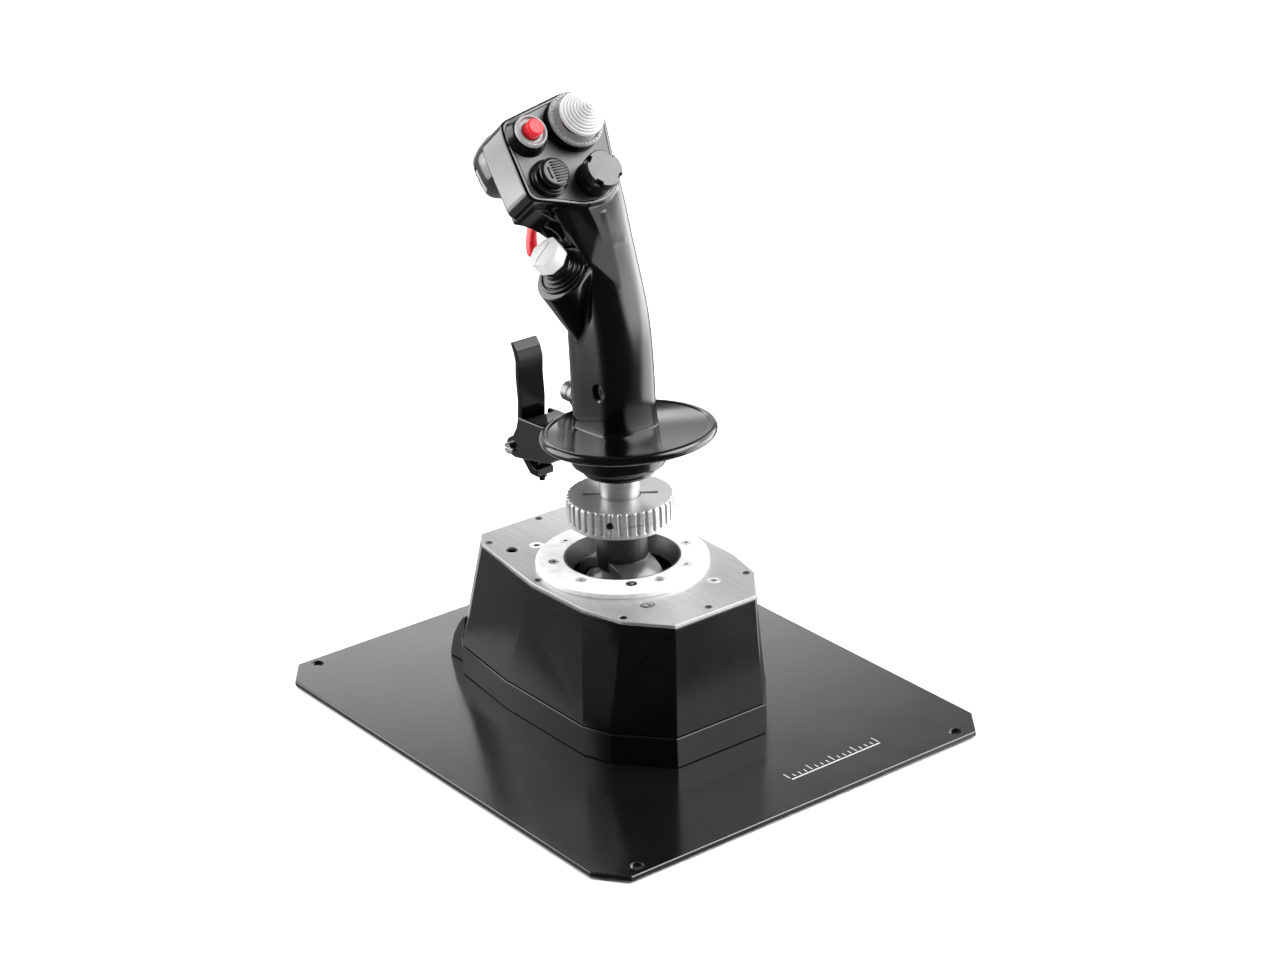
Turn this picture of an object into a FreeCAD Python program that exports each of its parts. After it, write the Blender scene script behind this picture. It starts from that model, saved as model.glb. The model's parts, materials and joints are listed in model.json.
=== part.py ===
import FreeCAD, Part
import math
import os

import Sketcher
from FreeCAD import Placement, Rotation, Vector

# Flight joystick on a desk plate. Millimetres, +Z up, +Y away from the pilot, +X to the pilot's
# right. The origin is the middle of the desk plate on the table, under the stick's axis.

DOC = FreeCAD.newDocument("FlightJoystick")
SHEET = DOC.addObject("Spreadsheet::Sheet", "dims")

SIZES = {
    # desk plate, its rubber pads and the bolts that hold the base to it
    "plate_width": 270, "plate_depth": 324, "plate_thickness": 3, "plate_base": 1.5,
    "plate_corner_x": 13.5, "plate_corner_y": 18, "plate_edge": 0.5,
    "plate_hole_radius": 3.5, "plate_hole_x": 112.5, "plate_hole_y": 154.8,
    "pad_radius": 9, "pad_x": 100, "pad_y": 128,
    "bolt_x": 40, "bolt_y": 48, "bolt_radius": 2.5, "bolt_head_radius": 5, "bolt_head_height": 1.1,
    "bolt_length": 10,
    # skirt, housing and top plate: half outlines, from the pilot's side to the rear
    "skirt_top": 22.5, "wall": 2.5,
    "skirt_x_a": 31.5, "skirt_x_b": 55.8, "skirt_x_c": 61.65, "skirt_x_d": 61.5, "skirt_x_e": 54.9,
    "skirt_x_f": 47.7,
    "skirt_y_a": -86.4, "skirt_y_b": -57.6, "skirt_y_c": -39.6, "skirt_y_d": 34.2, "skirt_y_e": 86.4,
    "skirt_y_f": 97.2,
    "foot_x_a": 31.0, "foot_x_b": 55.1, "foot_x_c": 60.9, "foot_x_d": 60.8, "foot_x_e": 54.2,
    "foot_x_f": 47.2,
    "foot_y_a": -85.6, "foot_y_b": -57.3, "foot_y_c": -39.3, "foot_y_d": 33.4, "foot_y_e": 85.6,
    "foot_y_f": 96.2,
    "head_x_a": 28.35, "head_x_b": 47.0, "head_x_c": 53.55, "head_x_d": 54.8, "head_x_e": 45.45,
    "head_x_f": 38.25,
    "head_y_a": -83.7, "head_y_b": -60.2, "head_y_c": -32.85, "head_y_d": 12.15, "head_y_e": 73.8,
    "head_y_f": 85.1,
    "housing_top": 87.7, "top_plate_thickness": 2.2, "top_opening": 33.2, "top_socket_radius": 3.45,
    "top_socket_x": 37.2, "top_socket_y": 55.3,
    "post_radius_top": 4.2, "post_depth": 14,
    "screw_radius": 2.1, "screw_shank": 1.2, "screw_length": 9,
    "frame_screw_radius": 4.3, "frame_screw_shank": 2.0,
    # bezel ring round the opening
    "ring_radius": 49.1, "ring_bore": 33.2, "ring_thickness": 4.6, "ring_edge": 1.6,
    "ring_screw_circle": 38.9, "ring_screw_radius": 3.2, "ring_key_radius": 3.4,
    "lip_radius": 33.0, "lip_throat": 28.4, "lip_depth": 10.8,
    # gimbal: the pitch axis is along X and the roll axis is along Y, through one point
    "pivot_height": 65, "shaft_radius": 4.95, "bearing_bore": 5.0, "bearing_radius": 8.0,
    "cheek_inner": 38.5, "cheek_thickness": 6, "flange_thickness": 4,
    "yoke_x": 33, "yoke_y": 40, "yoke_bar": 6, "yoke_height": 14,
    "arch_inner": 28.3, "arch_outer": 33.3, "arch_width": 27, "under_arch_outer": 27.7,
    "under_arch_inner": 23.8, "under_arch_width": 26,
    # stick
    "post_radius": 14.5, "nut_base": 117, "nut_height": 15.3, "nut_radius": 30.6,
    "nut_bore": 14.55, "nut_top_web": 3, "neck_radius": 11.4, "neck_top": 146,
    "flute_radius": 0.8, "flute_count": 38,
    "collar_base": 145.8, "collar_low_radius": 21, "collar_step": 152, "collar_radius": 28.5,
    "collar_top": 174,
    # hand rest disc
    "disc_radius": 49.5, "disc_height": 172.4, "disc_offset": -9.9, "disc_thickness": 3.4,
    "disc_rim": 3.0, "disc_tilt": -4.0,
    # handle
    "handle_base": 175.4, "handle_wall": 3,
    # switch panel plane: its own frame is turned back about X
    "panel_y": 38.3, "panel_z": 348.1, "panel_turn": 50.8, "panel_thickness": 2,
    "head_depth": 26, "nose_depth": 27, "head_wall": 3,
    # hat switches
    "hat_pin": 0.6, "hat_pin_bore": 0.66, "hat_stem": 2.2, "hat_ring_inner": 3.0, "hat_ring_outer": 4.6,
    "hat_cavity": 6.4, "hat_ring_height": 2.2,
    # push buttons
    "weapon_radius": 4.9, "weapon_bore": 5.3, "pinky_radius": 5.9, "mark_radius": 4.0,
}
for row, (alias, number) in enumerate(SIZES.items(), start=1):
    SHEET.set(f"A{row}", alias)
    SHEET.set(f"B{row}", str(number))
    SHEET.setAlias(f"B{row}", alias)
DOC.recompute()

OUTLINE_STATIONS = "abcdef"
PARTS = []


def dim(alias):
    return float(SHEET.get(alias))


def keep(obj, name):
    """Mark an object as a finished piece: its label is the name of its file."""
    obj.Label = name
    PARTS.append(obj)
    return obj


def bind(obj, **expressions):
    for prop, text in expressions.items():
        obj.setExpression(prop.replace("__", "."), str(text))


def prim(kind, name, at=(0, 0, 0), turn=None, **sizes):
    """A Part primitive with its sizes and its position bound to the sheet."""
    obj = DOC.addObject("Part::" + kind, name)
    bind(obj, **sizes)
    if turn:
        obj.Placement = Placement(Vector(), Rotation(Vector(*turn[0]), turn[1]))
    for axis, text in zip("xyz", at):
        obj.setExpression("Placement.Base." + axis, str(text))
    return obj


def cylinder(name, radius, height, at=(0, 0, 0), turn=None):
    return prim("Cylinder", name, at, turn, Radius=radius, Height=height)


def cone(name, low, high, height, at=(0, 0, 0), turn=None):
    return prim("Cone", name, at, turn, Radius1=low, Radius2=high, Height=height)


def box(name, length, width, height, at=(0, 0, 0), turn=None):
    return prim("Box", name, at, turn, Length=length, Width=width, Height=height)


def placed(obj, frame, x=0.0, y=0.0, z=0.0, turn=None):
    """Put a piece that was made at its own origin into a frame."""
    for axis in "xyz":
        obj.setExpression("Placement.Base." + axis, None)
    obj.Placement = frame.multiply(Placement(Vector(x, y, z), turn or Rotation()))
    return obj


def fuse(name, *pieces):
    obj = DOC.addObject("Part::MultiFuse", name)
    obj.Shapes = list(pieces)
    obj.Refine = True
    return obj


def cut(name, base, *tools):
    obj = DOC.addObject("Part::Cut", name)
    obj.Base = base
    obj.Tool = tools[0] if len(tools) == 1 else fuse(name + "_tools", *tools)
    return obj


def common(name, base, tool):
    obj = DOC.addObject("Part::Common", name)
    obj.Base, obj.Tool = base, tool
    return obj


def group(name, pieces):
    obj = DOC.addObject("Part::Compound", name)
    obj.Links = pieces
    return keep(obj, name)


def shaped(name, shape, place=None):
    """A piece whose surface is built from Part's own functions."""
    obj = DOC.addObject("Part::Feature", name)
    obj.Shape = shape
    if place:
        obj.Placement = place
    return obj


def new_body(name):
    body = DOC.addObject("PartDesign::Body", name)
    return body


def origin_plane(body, role):
    return next(item for item in body.Origin.OriginFeatures if item.Role == role)


def sketch(body, name, role="XY_Plane", level=0):
    item = body.newObject("Sketcher::SketchObject", name)
    item.AttachmentSupport = (origin_plane(body, role), [""])
    item.MapMode = "FlatFace"
    item.setExpression("AttachmentOffset.Base.z", str(level))
    return item


def signed(alias, sign=1, inset=None):
    """A dimension as its number and its expression; an inset draws it towards the middle."""
    number, text = sign * dim(alias), f"{sign} * dims.{alias}"
    if inset:
        step = math.copysign(1, number)
        number -= step * dim(inset)
        text += f" - {int(step)} * dims.{inset}"
    return number, text


def add_polygon(item, points):
    """A closed polygon whose corners are each bound to the sheet, as (x, y) pairs."""
    first = item.GeometryCount
    count = len(points)
    for k in range(count):
        (x0, _), (y0, _) = points[k]
        (x1, _), (y1, _) = points[(k + 1) % count]
        item.addGeometry(Part.LineSegment(Vector(x0, y0, 0), Vector(x1, y1, 0)), False)
    for k in range(count):
        item.addConstraint(Sketcher.Constraint("Coincident", first + k, 2, first + (k + 1) % count, 1))
    for k, (x, y) in enumerate(points):
        for kind, (number, text) in (("DistanceX", x), ("DistanceY", y)):
            index = item.addConstraint(Sketcher.Constraint(kind, -1, 1, first + k, 1, number))
            item.setExpression(f"Constraints[{index}]", text)


def add_circle(item, radius, x=("0", 0), y=("0", 0)):
    """A circle of a sheet radius; x and y are (expression, number) pairs."""
    first = item.GeometryCount
    item.addGeometry(Part.Circle(Vector(x[1], y[1], 0), Vector(0, 0, 1), dim(radius)), False)
    index = item.addConstraint(Sketcher.Constraint("Radius", first, dim(radius)))
    item.setExpression(f"Constraints[{index}]", "dims." + radius)
    for kind, (text, number) in (("DistanceX", x), ("DistanceY", y)):
        if number == 0:
            target = -2 if kind == "DistanceX" else -1
            item.addConstraint(Sketcher.Constraint("PointOnObject", first, 3, target))
        else:
            index = item.addConstraint(Sketcher.Constraint(kind, -1, 1, first, 3, number))
            item.setExpression(f"Constraints[{index}]", text)


def mirrored_outline(prefix, inset=None):
    """The twelve corners of a base outline, from the half that the sheet holds."""
    right = [(signed(f"{prefix}_x_{s}", 1, inset), signed(f"{prefix}_y_{s}", 1, inset))
             for s in OUTLINE_STATIONS]
    left = [(signed(f"{prefix}_x_{s}", -1, inset), signed(f"{prefix}_y_{s}", 1, inset))
            for s in reversed(OUTLINE_STATIONS)]
    return right + left


def pad(body, name, profile, length, reverse=False):
    item = body.newObject("PartDesign::Pad", name)
    item.Profile = profile
    item.setExpression("Length", str(length))
    item.Reversed = reverse
    return item


def pocket(body, name, profile, length, reverse=False):
    item = body.newObject("PartDesign::Pocket", name)
    item.Profile = profile
    item.setExpression("Length", str(length))
    item.Reversed = reverse
    return item


def dress(body, kind, name, edges, prop, size):
    """A chamfer or fillet on named edges of a body's last feature."""
    last = body.Tip
    item = body.newObject("PartDesign::" + kind, name)
    item.Base = (last, edges)
    item.setExpression(prop, str(size))
    return item


def pair(alias, sign=1):
    return f"{sign} * dims.{alias}", sign * dim(alias)


def at(x, y):
    """Two plain numbers as the (expression, number) pairs of a sketch position."""
    return (str(x), x), (str(y), y)


CORNERS = [(i, j) for i in (-1, 1) for j in (-1, 1)]

# ---------------------------------------------------------------- desk plate
plate = new_body("desk_plate")
plate_sketch = sketch(plate, "plate_outline", level="dims.plate_base")
half_w, half_d = dim("plate_width") / 2, dim("plate_depth") / 2
cut_x, cut_y = dim("plate_corner_x"), dim("plate_corner_y")
plate_points = []
for i, j, long_first in ((1, -1, True), (1, 1, False), (-1, 1, True), (-1, -1, False)):
    side = (i * half_w, f"{i} * dims.plate_width / 2"), \
           (j * (half_d - cut_y), f"{j} * (dims.plate_depth / 2 - dims.plate_corner_y)")
    end = (i * (half_w - cut_x), f"{i} * (dims.plate_width / 2 - dims.plate_corner_x)"), \
          (j * half_d, f"{j} * dims.plate_depth / 2")
    plate_points += [end, side] if long_first else [side, end]
add_polygon(plate_sketch, plate_points)
for i, j in CORNERS:
    add_circle(plate_sketch, "plate_hole_radius", pair("plate_hole_x", i), pair("plate_hole_y", j))
    add_circle(plate_sketch, "bolt_radius", pair("bolt_x", i), pair("bolt_y", j))
pad(plate, "plate_pad", plate_sketch, "dims.plate_thickness")
DOC.recompute()
plate_edges = [f"Edge{k + 1}" for k, edge in enumerate(plate.Tip.Shape.Edges)
               if abs(edge.BoundBox.ZMin - edge.BoundBox.ZMax) < 1e-6
               and edge.BoundBox.ZMin > dim("plate_base") + 1 and edge.BoundBox.DiagonalLength > 12]
dress(plate, "Chamfer", "plate_top_edge", plate_edges, "Size", "dims.plate_edge")
keep(plate, "desk_plate")

group("plate_feet", [
    cone(f"foot_{i}_{j}", "dims.pad_radius - 0.8", "dims.pad_radius", "dims.plate_base",
         (f"{i} * dims.pad_x", f"{j} * dims.pad_y", 0))
    for i in (-1, 0, 1) for j in (-1, 1)])

group("plate_bolts", [
    cut(f"bolt_{i}_{j}",
        fuse(f"bolt_{i}_{j}_solid",
             cylinder(f"bolt_{i}_{j}_head", "dims.bolt_head_radius", "dims.bolt_head_height",
                      (0, 0, "-dims.bolt_head_height")),
             cylinder(f"bolt_{i}_{j}_shank", "dims.bolt_radius", "dims.bolt_length")),
        prim("Prism", f"bolt_{i}_{j}_socket", (0, 0, "-dims.bolt_head_height"),
             Circumradius="1.7", Height="0.9"))
    for i, j in CORNERS])
for piece, (i, j) in zip(PARTS[-1].Links, CORNERS):
    bind(piece, Placement__Base__x=f"{i} * dims.bolt_x", Placement__Base__y=f"{j} * dims.bolt_y",
         Placement__Base__z="dims.plate_base")

# ---------------------------------------------------------------- base enclosure
PLATE_TOP = "(dims.plate_base + dims.plate_thickness)"
skirt = new_body("base_skirt")
skirt_outer = sketch(skirt, "skirt_outline", level=PLATE_TOP)
add_polygon(skirt_outer, mirrored_outline("skirt"))
pad(skirt, "skirt_pad", skirt_outer, f"dims.skirt_top - {PLATE_TOP}")
DOC.recompute()
skirt_inner = sketch(skirt, "skirt_cavity", level=f"{PLATE_TOP} + 2.5")
add_polygon(skirt_inner, mirrored_outline("skirt", "wall"))
pocket(skirt, "skirt_hollow", skirt_inner, "dims.skirt_top", reverse=True)
DOC.recompute()
bosses = sketch(skirt, "skirt_bosses", level=f"{PLATE_TOP} + 2.0")
for i, j in CORNERS:
    add_circle(bosses, "bolt_head_radius", pair("bolt_x", i), pair("bolt_y", j))
pad(skirt, "skirt_boss_pad", bosses, "9")
DOC.recompute()
boss_bores = sketch(skirt, "skirt_boss_bores", level=PLATE_TOP)
for i, j in CORNERS:
    add_circle(boss_bores, "bolt_radius", pair("bolt_x", i), pair("bolt_y", j))
pocket(skirt, "skirt_boss_holes", boss_bores, "14", reverse=True)
keep(skirt, "base_skirt")

TOP_SCREWS = [(41.4, 72), (-41.4, 72), (0, 80.6), (50.0, 12.6), (-50.0, 12.6), (43.2, -57.2),
              (-43.2, -57.2), (0, -77.4)]
FRAME_SCREWS = [(23, 50.9), (-23, 50.9), (23.4, -53.1), (-23.4, -53.1)]

housing = new_body("housing_walls")
low = sketch(housing, "housing_foot", level="dims.skirt_top")
add_polygon(low, mirrored_outline("foot"))
high = sketch(housing, "housing_head", level="dims.housing_top")
add_polygon(high, mirrored_outline("head"))
shell = housing.newObject("PartDesign::AdditiveLoft", "housing_loft")
shell.Profile, shell.Sections, shell.Ruled = low, [high], True
DOC.recompute()
low_in = sketch(housing, "housing_foot_cavity", level="dims.skirt_top")
add_polygon(low_in, mirrored_outline("foot", "wall"))
high_in = sketch(housing, "housing_head_cavity", level="dims.housing_top")
add_polygon(high_in, mirrored_outline("head", "wall"))
hollow = housing.newObject("PartDesign::SubtractiveLoft", "housing_hollow")
hollow.Profile, hollow.Sections, hollow.Ruled = low_in, [high_in], True
DOC.recompute()
posts = [cylinder(f"housing_post_{k}", "dims.post_radius_top", "dims.post_depth",
                  (x, y, "dims.housing_top - dims.post_depth")) for k, (x, y) in enumerate(TOP_SCREWS)]
envelope = new_body("housing_envelope")
low_env = sketch(envelope, "envelope_foot", level="dims.skirt_top")
add_polygon(low_env, mirrored_outline("foot"))
high_env = sketch(envelope, "envelope_head", level="dims.housing_top")
add_polygon(high_env, mirrored_outline("head"))
envelope_loft = envelope.newObject("PartDesign::AdditiveLoft", "envelope_loft")
envelope_loft.Profile, envelope_loft.Sections, envelope_loft.Ruled = low_env, [high_env], True
posts_inside = common("housing_posts", fuse("housing_post_set", *posts), envelope)
keep(cut("base_housing_piece", fuse("base_housing_solid", housing, posts_inside),
         *[cylinder(f"housing_post_bore_{k}", "dims.screw_shank", "dims.screw_length",
                    (x, y, "dims.housing_top - dims.screw_length"))
           for k, (x, y) in enumerate(TOP_SCREWS)]), "base_housing")

top = new_body("top_plate")
top_sketch = sketch(top, "top_plate_outline", level="dims.housing_top")
add_polygon(top_sketch, mirrored_outline("head"))
add_circle(top_sketch, "top_opening")
for x, y in TOP_SCREWS:
    add_circle(top_sketch, "screw_radius", *at(x, y))
for x, y in FRAME_SCREWS:
    add_circle(top_sketch, "frame_screw_radius", *at(x, y))
for i in (-1, 1):
    add_circle(top_sketch, "top_socket_radius", pair("top_socket_x", i), pair("top_socket_y"))
pad(top, "top_plate_pad", top_sketch, "dims.top_plate_thickness")
keep(top, "top_plate")


def socket_screw(name, x, y, surface, head, head_height, key, shank=None, length=None):
    """A screw whose flat head fills its hole and ends flush with a surface."""
    solid = cylinder(name + "_head", head, head_height, (0, 0, f"-({head_height})"))
    if shank:
        solid = fuse(name + "_solid", solid,
                     cylinder(name + "_shank", shank, length, (0, 0, f"-({head_height}) - ({length})")))
    screw = cut(name, solid, prim("Prism", name + "_key", (0, 0, -1.2), Circumradius=key, Height="1.3"))
    for axis, text in zip("xyz", (x, y, surface)):
        screw.setExpression("Placement.Base." + axis, str(text))
    return screw


TOP_SURFACE = "(dims.housing_top + dims.top_plate_thickness)"
group("top_plate_screws", [
    socket_screw(f"top_screw_{k}", x, y, TOP_SURFACE, "dims.screw_radius", "dims.top_plate_thickness",
                 1.0, "dims.screw_shank", "dims.screw_length - 1")
    for k, (x, y) in enumerate(TOP_SCREWS)])
group("frame_screws", [
    socket_screw(f"frame_screw_{k}", x, y, TOP_SURFACE, "dims.frame_screw_radius",
                 "dims.top_plate_thickness", 1.9, "dims.frame_screw_shank", "dims.flange_thickness")
    for k, (x, y) in enumerate(FRAME_SCREWS)])

# ---------------------------------------------------------------- bezel ring and lip
RING_SCREW_ANGLES = [sign * step for step in (30, 73.5, 118, 161) for sign in (-1, 1)]


def on_ring(angle):
    """A position on the ring's screw circle, from an angle off the pilot's side."""
    radius = dim("ring_screw_circle")
    return radius * math.sin(math.radians(angle)), -radius * math.cos(math.radians(angle))


ring = new_body("bezel_ring")
ring_sketch = sketch(ring, "ring_outline", level=TOP_SURFACE)
add_circle(ring_sketch, "ring_radius")
add_circle(ring_sketch, "ring_bore")
for angle in RING_SCREW_ANGLES:
    add_circle(ring_sketch, "ring_screw_radius", *at(*on_ring(angle)))
add_circle(ring_sketch, "ring_key_radius", *at(*on_ring(-6)))
pad(ring, "ring_pad", ring_sketch, "dims.ring_thickness")
DOC.recompute()
ring_edge = [f"Edge{k + 1}" for k, edge in enumerate(ring.Tip.Shape.Edges)
             if edge.BoundBox.ZMin > 93 and edge.BoundBox.XMax > dim("ring_radius") - 0.1
             and abs(edge.BoundBox.ZMin - edge.BoundBox.ZMax) < 1e-6]
dress(ring, "Chamfer", "ring_chamfer", ring_edge, "Size", "dims.ring_edge")
keep(ring, "bezel_ring")
RING_SURFACE = f"({TOP_SURFACE} + dims.ring_thickness)"
group("ring_screws", [
    socket_screw(f"ring_screw_{k}", *on_ring(angle), RING_SURFACE, "dims.ring_screw_radius",
                 "dims.ring_thickness", 1.4)
    for k, angle in enumerate(RING_SCREW_ANGLES)])

LIP_FOOT = f"{RING_SURFACE} - dims.lip_depth"
lip_out = cylinder("lip_outer", "dims.lip_radius", "dims.lip_depth", (0, 0, LIP_FOOT))
lip_bore = cone("lip_bore", "dims.lip_throat", "dims.lip_radius - 0.6", "dims.lip_depth", (0, 0, LIP_FOOT))
keep(cut("opening_lip_piece", lip_out, lip_bore), "opening_lip")

# ---------------------------------------------------------------- rear cover and electronics
cover = new_body("cover_walls")
cover_sketch = sketch(cover, "cover_profile", "YZ_Plane", -46)
COVER = [(97.4, 4.5), (113, 4.5), (112.5, 8.1), (108.5, 19.8), (102.6, 28.8), (97.2, 35.0),
         (94.4, 35.6), (96.35, 22.7), (97.4, 22.4)]
add_polygon(cover_sketch, [((y, str(y)), (z, str(z))) for y, z in COVER])
pad(cover, "cover_pad", cover_sketch, 92)
DOC.recompute()
hollow_sketch = sketch(cover, "cover_hollow_profile", "YZ_Plane", -43.5)
add_polygon(hollow_sketch, [((y, str(y)), (z, str(z))) for y, z in
                            ((97.0, 4.0), (110.2, 4.0), (106.2, 18.4), (100.6, 26.8), (97.0, 30.8))])
pocket(cover, "cover_hollow", hollow_sketch, 87, reverse=True)
outlet = box("cable_outlet", 14, 8, 8, (-7, 107, 3))
keep(cut("rear_cover_piece", cover, outlet), "rear_cover")

socket_shell = box("socket_shell", 9.6, 8, 3.8, (-4.8, 97.4, 7.0))
socket_mouth = box("socket_mouth", 9.0, 7.2, 3.2, (-4.5, 98.4, 7.3))
socket_tongue = box("socket_tongue", 6.6, 5.4, 0.7, (-3.3, 97.6, 8.55))
keep(fuse("usb_socket_piece", cut("socket_case", socket_shell, socket_mouth), socket_tongue), "usb_socket")

board = box("board_blank", 70, 44, 1.6, (-35, 36, 18.2))
chips = [box(f"chip_{k}", 9, 9, 1.4, (x, y, 19.8)) for k, (x, y) in enumerate(((-18, 52), (4, 60), (14, 44)))]
keep(fuse("circuit_board_piece", board, *chips), "circuit_board")
group("board_posts", [cylinder(f"board_post_{i}_{j}", 3, 11.2, (30 * i, 58 + 18 * j, 7)) for i, j in CORNERS])

# ---------------------------------------------------------------- gimbal
PIVOT = "dims.pivot_height"
ALONG_X = ((0, 1, 0), 90)
ALONG_Y = ((1, 0, 0), -90)
flange = cut("frame_flange",
             fuse("frame_flange_blank",
                  box("frame_flange_long", 66, 117, "dims.flange_thickness",
                      (-33, -58.5, "dims.housing_top - dims.flange_thickness")),
                  box("frame_flange_wide", "2 * (dims.cheek_inner + dims.cheek_thickness)", 40,
                      "dims.flange_thickness",
                      ("-dims.cheek_inner - dims.cheek_thickness", -20,
                       "dims.housing_top - dims.flange_thickness"))),
             cylinder("frame_flange_hole", "dims.lip_radius + 0.4", 20, (0, 0, 75)),
             *[cylinder(f"frame_tap_{k}", "dims.frame_screw_shank", 20, (x, y, 75))
               for k, (x, y) in enumerate(FRAME_SCREWS)])
cheeks = [box(f"frame_cheek_{i}", "dims.cheek_thickness", 34, f"dims.housing_top - {PIVOT} + 10",
              (f"{i} * dims.cheek_inner - {0 if i > 0 else 1} * dims.cheek_thickness", -17, f"{PIVOT} - 12"))
          for i in (-1, 1)]
keep(cut("gimbal_frame_piece", fuse("gimbal_frame_solid", flange, *cheeks),
         cylinder("frame_bore", "dims.bearing_radius", 120, (-60, 0, PIVOT), ALONG_X)), "gimbal_frame")
group("frame_bearings", [
    cut(f"frame_bearing_{i}",
        cylinder(f"bearing_race_{i}", "dims.bearing_radius", "dims.cheek_thickness",
                 (f"{i} * dims.cheek_inner - {0 if i > 0 else 1} * dims.cheek_thickness", 0, PIVOT), ALONG_X),
        cylinder(f"bearing_hole_{i}", "dims.bearing_bore", 120, (-60, 0, PIVOT), ALONG_X))
    for i in (-1, 1)])


def arch(name, outer, inner, wide_x, wide_y, low):
    """A strap of a spherical dome over the pivot, open below a level."""
    dome = cut(name + "_dome", prim("Sphere", name + "_outer", (0, 0, PIVOT), Radius=outer),
               prim("Sphere", name + "_inner", (0, 0, PIVOT), Radius=inner))
    return common(name, dome, box(name + "_keep", wide_x, wide_y, 50,
                                  (f"-({wide_x}) / 2", f"-({wide_y}) / 2", f"{PIVOT} + {low}")))


frame_x, frame_y, bar = "dims.yoke_x", "dims.yoke_y", "dims.yoke_bar"
yoke_ring = cut("yoke_ring",
                box("yoke_outer", f"2 * {frame_x}", f"2 * {frame_y}", "dims.yoke_height",
                    (f"-{frame_x}", f"-{frame_y}", f"{PIVOT} - dims.yoke_height / 2")),
                box("yoke_inner", f"2 * ({frame_x} - {bar})", f"2 * ({frame_y} - {bar})", 40,
                    (f"-({frame_x} - {bar})", f"-({frame_y} - {bar})", f"{PIVOT} - 20")))
yoke_shafts = [cylinder(f"pitch_shaft_{i}", "dims.shaft_radius", 14,
                        (30 if i > 0 else -44, 0, PIVOT), ALONG_X) for i in (-1, 1)]
under_arch = arch("under_arch", "dims.under_arch_outer", "dims.under_arch_inner",
                  90, "dims.under_arch_width", 0)
arch_feet = [box(f"under_arch_foot_{i}", 6, 20, 8, (23 if i > 0 else -29, -10, f"{PIVOT} - 4"))
             for i in (-1, 1)]
keep(cut("pitch_yoke_piece", fuse("pitch_yoke_solid", yoke_ring, *yoke_shafts, under_arch, *arch_feet),
         cylinder("roll_bore", "dims.bearing_bore", 120, (0, -60, PIVOT), ALONG_Y)), "pitch_yoke")

over_arch = arch("over_arch", "dims.arch_outer", "dims.arch_inner", "dims.arch_width", 90, 2)
roll_shafts = [cylinder(f"roll_shaft_{i}", "dims.shaft_radius", 12,
                        (0, 29 if i > 0 else -41, PIVOT), ALONG_Y) for i in (-1, 1)]
arch_ears = [box(f"arch_ear_{i}", 20, 5.2, 14, (-10, 28.4 if i > 0 else -33.6, f"{PIVOT} - 6"))
             for i in (-1, 1)]
post_foot = cylinder("post_foot", "dims.post_radius", "dims.nut_base - 84.5", (0, 0, 84.5))
post_top = cylinder("post_spigot", "dims.nut_bore - 0.3", "dims.nut_height - dims.nut_top_web - 3",
                    (0, 0, "dims.nut_base"))
post_bore = cylinder("post_bore", 9, 60, (0, 0, 92))
under_cut = prim("Sphere", "arch_clear", (0, 0, PIVOT), Radius="dims.arch_inner")
post_solid = cut("post_solid", fuse("post_blank", post_foot, post_top), post_bore, under_cut)
keep(fuse("stick_post_piece", over_arch, post_solid, *arch_ears, *roll_shafts), "stick_post")

# ---------------------------------------------------------------- lock nut and neck
GRUB_OUT = Vector(-0.75, -0.66, 0)
nut_blank = cylinder("nut_blank", "dims.nut_radius", "dims.nut_height", (0, 0, "dims.nut_base"))
nut_flutes = []
for k in range(int(dim("flute_count"))):
    angle = 2 * math.pi * k / dim("flute_count")
    nut_flutes.append(cylinder(f"nut_flute_{k}", "dims.flute_radius", "dims.nut_height - 2.4",
                               (f"dims.nut_radius * {math.cos(angle):.6f}",
                                f"dims.nut_radius * {math.sin(angle):.6f}", "dims.nut_base + 2.4")))
nut_bore = cylinder("nut_bore_low", "dims.nut_bore", "dims.nut_height - dims.nut_top_web",
                    (0, 0, "dims.nut_base"))
nut_eye = cylinder("nut_eye", "dims.neck_radius + 0.3", 40, (0, 0, "dims.nut_base"))
NUT_TOP = Placement(Vector(0, 0, dim("nut_base") + dim("nut_height")), Rotation(Vector(0, 0, 1), -37))
nut_slots = placed(box("nut_slots", 42, 1.8, 2.2), NUT_TOP, -21, -0.9, -2.2)
GRUB = Placement(Vector(0, 0, dim("nut_base") + 8.4), Rotation(Vector(0, 0, 1), GRUB_OUT))
grub_hole = placed(cylinder("grub_hole", 2.1, 14), GRUB, 0, 0, 20)
keep(cut("lock_nut_piece", nut_blank, nut_bore, nut_eye, nut_slots, grub_hole, *nut_flutes), "lock_nut")
grub = cut("grub_blank", cylinder("grub_body", 2.1, 9.2),
           prim("Prism", "grub_key", (0, 0, 7.9), Circumradius="1.1", Height="1.4"))
keep(placed(grub, GRUB, 0, 0, 20), "nut_grub_screw")

NECK_SEAT = "(dims.nut_base + dims.nut_height - dims.nut_top_web - 2.95)"
neck_tube = cylinder("neck_tube", "dims.neck_radius", f"dims.neck_top - {NECK_SEAT}", (0, 0, NECK_SEAT))
neck_plug = cylinder("neck_plug", 8.9, 20, (0, 0, f"{NECK_SEAT} - 18"))
neck_flange = cylinder("neck_flange", "dims.nut_bore - 0.4", 2.8, (0, 0, NECK_SEAT))
keep(cut("neck_piece", fuse("neck_solid", neck_tube, neck_flange, neck_plug),
         cylinder("neck_bore", 6, 60, (0, 0, 100))), "neck")

# ---------------------------------------------------------------- hand rest disc
DISC = Placement(Vector(0, dim("disc_offset"), dim("disc_height")),
                 Rotation(Vector(1, 0, 0), dim("disc_tilt")))

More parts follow.
